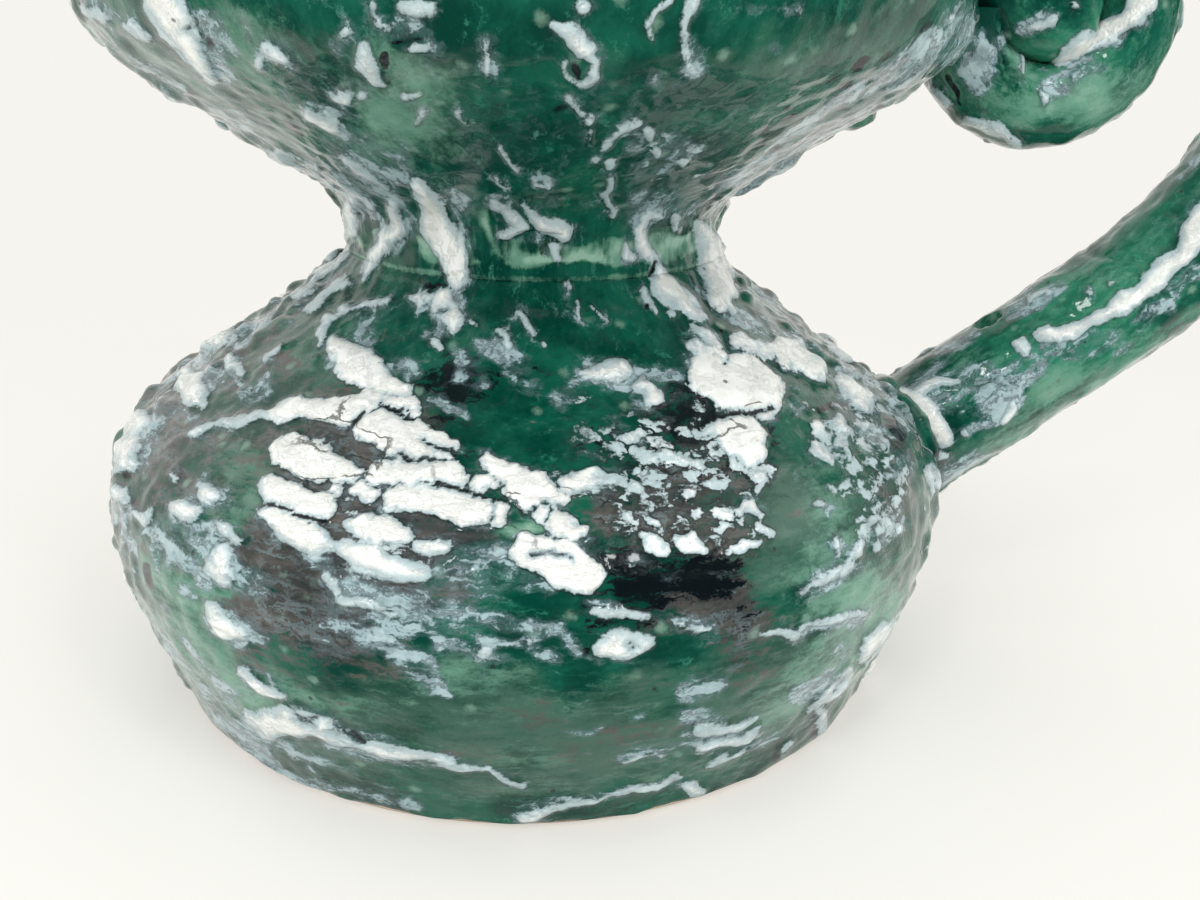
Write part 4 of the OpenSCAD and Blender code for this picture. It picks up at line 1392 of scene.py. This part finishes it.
# %% [markdown]
# ## The hollow rim and its spouts
#
# The rim is a tube bent into a ring, thrown as a trough and closed with a cap. Both are turned pieces
# with a hollow section. The spouts are thrown off the hump and luted on: a flared root, a neck and a
# beaded mouth, with the bore open so that one can see it is real.

# %% Rim
rim_tube_r, rim_wall, rim_seam = 13, 4, 5.5
seam_angle = math.degrees(math.asin(rim_seam / rim_tube_r))
rim_inner_step = 2


def rim_piece(node, start, end):
    """The rim's tube between two angles round its section."""
    outside = arc(rim_c, rim_tube_r, start, end, skin_step)
    inside = arc(rim_c, rim_tube_r - rim_wall, start, end, rim_inner_step)
    return shell_piece(node, outside, inside)


rim_piece("rim_trough", -180 - seam_angle, seam_angle)
rim_piece("rim_cap", seam_angle, 180 - seam_angle)

# %% Line of a spout
spout_len, spout_root_r, spout_neck_r, spout_bead, spout_bore_r = 24, 10, 7, 2, 4
spout_sink, mouth_round = 4, 0.8
neck_step, flare_step, bead_step, mouth_step, bore_step = 0.7, 0.5, 0.4, 0.6, 2
mouth = rim_tube_r + spout_len
flare = spout_root_r - spout_neck_r
neck_from, neck_to = rim_tube_r + flare, mouth - 2 * spout_bead

spout_outside = joined(line((spout_root_r, spout_sink), (spout_root_r, rim_tube_r), neck_step),
                       arc((spout_root_r, neck_from), flare, 270, 180, flare_step),
                       line((spout_neck_r, neck_from), (spout_neck_r, neck_to), neck_step),
                       arc((spout_neck_r, mouth - spout_bead), spout_bead, -90, 90, bead_step))
spout_bore = joined(line((spout_neck_r, mouth), (spout_bore_r + mouth_round, mouth), mouth_step),
                    line((spout_bore_r, mouth - mouth_round), (spout_bore_r, spout_sink), bore_step))
spout_line = joined(spout_outside, spout_bore)
print(f"A spout's line has {len(spout_line)} points")

# %% Spouts
spout_sides = 72
spout_cover = 0.7 * (np.arange(len(spout_line)) < len(spout_outside) + 2)


def cosine(degrees):
    return math.cos(math.radians(degrees))


def sine(degrees):
    return math.sin(math.radians(degrees))


def spout_piece(node, heading):
    """A spout on the rim: its line turned about a level axis with this heading."""
    angle = 2 * np.pi * np.arange(spout_sides) / spout_sides
    along = np.array([cosine(heading), sine(heading), 0])
    side = np.array([-along[1], along[0], 0])
    spokes = np.cos(angle)[:, None] * side + np.sin(angle)[:, None] * np.array([0, 0, 1])
    hub = (rim_r + spout_line[:, 1])[:, None, None] * along
    grid = spout_line[:, :1, None] * spokes + hub + np.array([0, 0, rim_z])
    return glazed(node, grid, spout_cover, "body", closed=True)


for node, heading in (("spout_left", 180), ("spout_front", 270), ("spout_back", 90)):
    spout_piece(node, heading)

# %% [markdown]
# ## The hollow handle
#
# The handle is a pulled tube. It leaves the belly in a rising line, sweeps up, turns upright and bends
# over to the rim, where it narrows. Its path is the frame's own path: straight runs and arcs that touch.
# The suction hole under its top is the hole that a drinker has to find, and is sunk as a small well.

# %% Handle path
handle_r, nose_r, nose_land = 16.5, 11, 8
handle_root_z, handle_rise, sweep_rise = 54, 36.5, 52
sweep_turn, knee_turn, handle_post = 150, 62, 18
handle_sink, nose_sink = 14, 6
handle_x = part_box("handle_tube")[1][0] / MM - handle_r
rim_out = rim_r + rim_tube_r
tube_step = 0.9


def ahead(point, heading, length):
    """The place that lies a length ahead of a point."""
    return np.array(point) + length * np.array([cosine(heading), sine(heading)])


def bend(point, radius, start, end):
    """A left turn from one heading to another."""
    return arc(ahead(point, start + 90, radius), radius, start - 90, end - 90, tube_step)


root = np.array([belly_r, handle_root_z])
handle_run = (handle_x - belly_r - sweep_turn * (sine(sweep_rise) - sine(handle_rise))
              - knee_turn * (1 - sine(sweep_rise))) / cosine(handle_rise)
sweep = bend(ahead(root, handle_rise, handle_run), sweep_turn, handle_rise, sweep_rise)
knee = bend(sweep[-1], knee_turn, sweep_rise, 90)
top = bend(ahead(knee[-1], 90, handle_post), rim_z - knee[-1][1] - handle_post, 90, 180)
handle_path = joined(line(ahead(root, handle_rise, -handle_sink), sweep[0], tube_step), sweep, knee,
                     line(knee[-1], top[0], tube_step), top,
                     line(top[-1], (rim_out - nose_sink, rim_z), tube_step))
print(f"Handle path {len(handle_path)} rings, top at {handle_path[:, 1].max() + handle_r:.1f} mm")

# %% Handle piece
handle_sides = 116
suction_r, suction_depth, suction_share = 2.6, 6, 0.3
well_inside, well_outside = 0.9, 0.5
out_of_reach = 50

narrowing = nose_r + (handle_r - nose_r) * rise(rim_out + nose_land, top[-1][0], handle_path[:, 0])
handle_radii = np.where(handle_path[:, 1] < rim_z - 1, handle_r, narrowing)
handle_grid = swept(handle_path, handle_radii, handle_sides)
suction_at = np.array([top[-1][0] - suction_share * (top[-1][0] - rim_out - nose_land), 0])
suction_gap = np.linalg.norm(handle_grid[..., :2] - suction_at, axis=-1)
suction_gap += out_of_reach * (handle_grid[..., 2] > rim_z)
well = -suction_depth * (1 - rise(suction_r - well_inside, suction_r + well_outside, suction_gap)).ravel()
glazed("handle_tube", handle_grid, np.ones(len(handle_path)), "handle", extra=well)

# %% [markdown]
# ## Luting coils
#
# Soft clay coils seal the handle at its root and at the rim. The root coil follows the line where the
# tube meets the belly: for each direction round the tube, the place along it is found by halving until it
# lies on the belly. A coil pressed by hand is lumpy, so its thickness wanders.

# %% Coils
coil_r, coil_sides, coil_points = 3.4, 28, 150
coil_lumps, lump_size = 0.45, 9
coil_cover = np.full(coil_sides, 0.8)
turn = 2 * np.pi * np.arange(coil_points) / coil_points


def coil_piece(node, centres):
    """A coil of wandering thickness along a closed line of centres."""
    way = np.roll(centres, -1, axis=0) - np.roll(centres, 1, axis=0)
    way /= np.linalg.norm(way, axis=1, keepdims=True)
    away = centres - centres.mean(axis=0)
    away -= np.sum(away * way, axis=1, keepdims=True) * way
    away /= np.linalg.norm(away, axis=1, keepdims=True)
    third = np.cross(way, away)
    radius = coil_r * (1 + coil_lumps * soft(centres, lump_size, 2, 30))
    angle = 2 * np.pi * np.arange(coil_sides) / coil_sides
    ring = np.cos(angle)[None, :, None] * away[:, None] + np.sin(angle)[None, :, None] * third[:, None]
    grid = np.swapaxes(centres[:, None] + radius[:, None, None] * ring, 0, 1)
    return glazed(node, grid, coil_cover, "handle", closed=True)


# %% Coil at the root, found by halving
halvings = 30
tube_way = np.array([cosine(handle_rise), 0, sine(handle_rise)])
lift_way = np.array([-sine(handle_rise), 0, cosine(handle_rise)])
side_way = np.array([0, 1, 0])

tube_ring = handle_r * (np.cos(turn)[:, None] * lift_way + np.sin(turn)[:, None] * side_way)
base = np.array([belly_r, 0, handle_root_z]) + tube_ring
low = np.full(coil_points, -40.0)
high = np.full(coil_points, 20.0)
for _ in range(halvings):
    middle = (low + high) / 2
    spot = base + middle[:, None] * tube_way
    belly_here = np.interp(spot[:, 2], outer_line[:, 1], outer_line[:, 0])
    outside = np.hypot(spot[:, 0], spot[:, 1]) > belly_here
    low = np.where(outside, low, middle)
    high = np.where(outside, middle, high)
coil_piece("handle_root_coil", base + high[:, None] * tube_way)

# %% Coil at the rim
rim_coil_r, rim_coil_sink = nose_r + 1, 1.5

rim_coil_x = 0 * turn + rim_out - rim_coil_sink
rim_coil_z = rim_z + rim_coil_r * np.cos(turn)
coil_piece("handle_rim_coil", np.column_stack([rim_coil_x, rim_coil_r * np.sin(turn), rim_coil_z]))

# %% [markdown]
# ## The scroll
#
# A roll of clay is pressed on to the bowl and curled in on itself, with a round end like a pearl. The
# path is two arcs, and the roll ends in a half ball, so that only a dark gap shows between the turns.

# %% Scroll
scroll_r, scroll_turn, scroll_bite = 10.4, 21.6, 7
curl_turn = scroll_turn / 2
pearl_r = 12.0
scroll_sides = 96
scroll_step, curl_step, pearl_step = 0.7, 0.5, 0.3

scroll_c = np.array([bowl_r + scroll_turn + scroll_r - scroll_bite, bowl_z])
curl_c = scroll_c + [0, curl_turn]
curled = joined(arc(scroll_c, scroll_turn, 180, 450, scroll_step), arc(curl_c, curl_turn, 90, 270, curl_step))
scroll_path = joined(curled, line(curled[-1], curled[-1] + [pearl_r, 0], pearl_step))
run = run_along(scroll_path)
thickening = scroll_r + (pearl_r - scroll_r) * rise(0.5, 0.9, run / run[-1])
over_end = np.clip(pearl_r - (run[-1] - run), 0, pearl_r)
half_ball = np.sqrt(pearl_r ** 2 - over_end ** 2 + 0.01)
scroll_radii = np.where(over_end > 0, half_ball, thickening)
glazed("scroll", swept(scroll_path, scroll_radii, scroll_sides), np.ones(len(scroll_path)), "scroll")

# %% [markdown]
# ## Floor and light
#
# The jug stands on a plain white floor in a white room. The room is light on its far side and above, and
# dim behind the camera, which keeps the near glaze deep and lets the turning sides shine pale. For the
# same reason the gloss mirrors a dark floor in front of the jug. Soft lamps on both sides fill the front.

# %% Floor
floor_white, floor_shade = srgb(243, 242, 238), srgb(240, 239, 234)
room_white = srgb(246, 244, 239)
mirrored_floor = srgb(70, 72, 74)
floor_half = 3.0


def ray_kinds(start):
    """Two numbers: 1 for rays from the camera, and 1 for mirrored ones."""
    path = start.node("ShaderNodeLightPath", {}, {}).socket.node.outputs
    return Wire(path["Is Camera Ray"]), Wire(path["Is Glossy Ray"])


def floor_material():
    """White that takes shadows near the jug, and runs into the room's white away from it."""
    material, shader, place = new_material("floor_white")
    from_camera, mirrored = ray_kinds(place)
    cloud = place.grain(9, 2, 0.5).rise(0.3, 0.7)
    colour = (cloud * 0.3).over(floor_white, floor_shade)
    plug(shader, {"Base Color": colour, "Roughness": 0.9, "Specular IOR Level": 0.1})
    away = place.node("ShaderNodeVectorMath", {"operation": "LENGTH"}, {0: place}, "Value").rise(0.1, 0.55)
    _, to_back, _ = place.parts()
    in_front = mirrored * to_back.rise(-0.02, -0.14)
    plain = place.node("ShaderNodeEmission", {}, {"Color": in_front.over(room_white, mirrored_floor)})
    direct = (0.45 + away * 0.55) * from_camera.math("MAXIMUM", from_camera, mirrored)
    direct = direct.math("MAXIMUM", direct, in_front)
    mixed = place.node("ShaderNodeMixShader", {}, {0: direct, 1: Wire(shader.outputs[0]), 2: plain})
    plug(material.node_tree.nodes["Material Output"], {"Surface": mixed})
    return material


floor_mesh = bpy.data.meshes.new("floor")
corners = [(x * floor_half, y * floor_half, 0) for x, y in ((-1, -1), (1, -1), (1, 1), (-1, 1))]
floor_mesh.from_pydata(corners, [], [(0, 1, 2, 3)])
floor_mesh.materials.append(floor_material())
floor = bpy.data.objects.new("floor", floor_mesh)
bpy.context.scene.collection.objects.link(floor)
print("Floor:", 2 * floor_half, "m across")

# %% Room light
far_white, near_dark = srgb(240, 239, 235), srgb(46, 50, 54)

world = bpy.data.worlds.new("room")
bpy.context.scene.world = world
world.use_nodes = True
gaze = Wire(world.node_tree.nodes.new("ShaderNodeTexCoord").outputs["Generated"])
from_camera, mirrored = ray_kinds(gaze)
_, to_back, to_top = gaze.parts()
lighting = (to_back + to_top * 0.35).rise(-0.35, -0.9).over(far_white, near_dark)
mirroring = (to_back + to_top * 0.1).rise(0.0, -0.4).over(far_white, near_dark)
room_tint = from_camera.over(mirrored.over(lighting, mirroring), room_white)
plug(world.node_tree.nodes["Background"], {"Color": room_tint})
print("Room:", len(world.node_tree.nodes), "nodes")

# %% Lamps
# Each lamp has its place and size in metres, its watts, and whether it leaves a bright patch in the gloss.
lamps = {
    "fill_left": ((-0.9, -1.2, 0.7), 1.0, 8, False),
    "fill_right": ((0.9, -1.2, 0.7), 1.0, 8, False),
    "top_light": ((0, -0.1, 1.4), 0.9, 3, False),
    "glint_left": ((-0.45, -0.8, 0.9), 0.14, 1.2, True),
    "glint_right": ((0.5, -0.7, 1.0), 0.14, 1.2, True),
}
lamp_aim = Vector((0, 0, 0.1))

for name, (place, size, watts, in_gloss) in lamps.items():
    light = bpy.data.lights.new(name, "AREA")
    light.shape = "SQUARE"
    light.size = size
    light.energy = watts
    holder = bpy.data.objects.new(name, light)
    way = lamp_aim - Vector(place)
    holder.matrix_world = Matrix.Translation(place) @ way.to_track_quat("-Z", "Y").to_matrix().to_4x4()
    holder.visible_glossy = in_gloss
    bpy.context.scene.collection.objects.link(holder)
bpy.context.scene.view_settings.view_transform = "Standard"
print(len(lamps), "lamps")
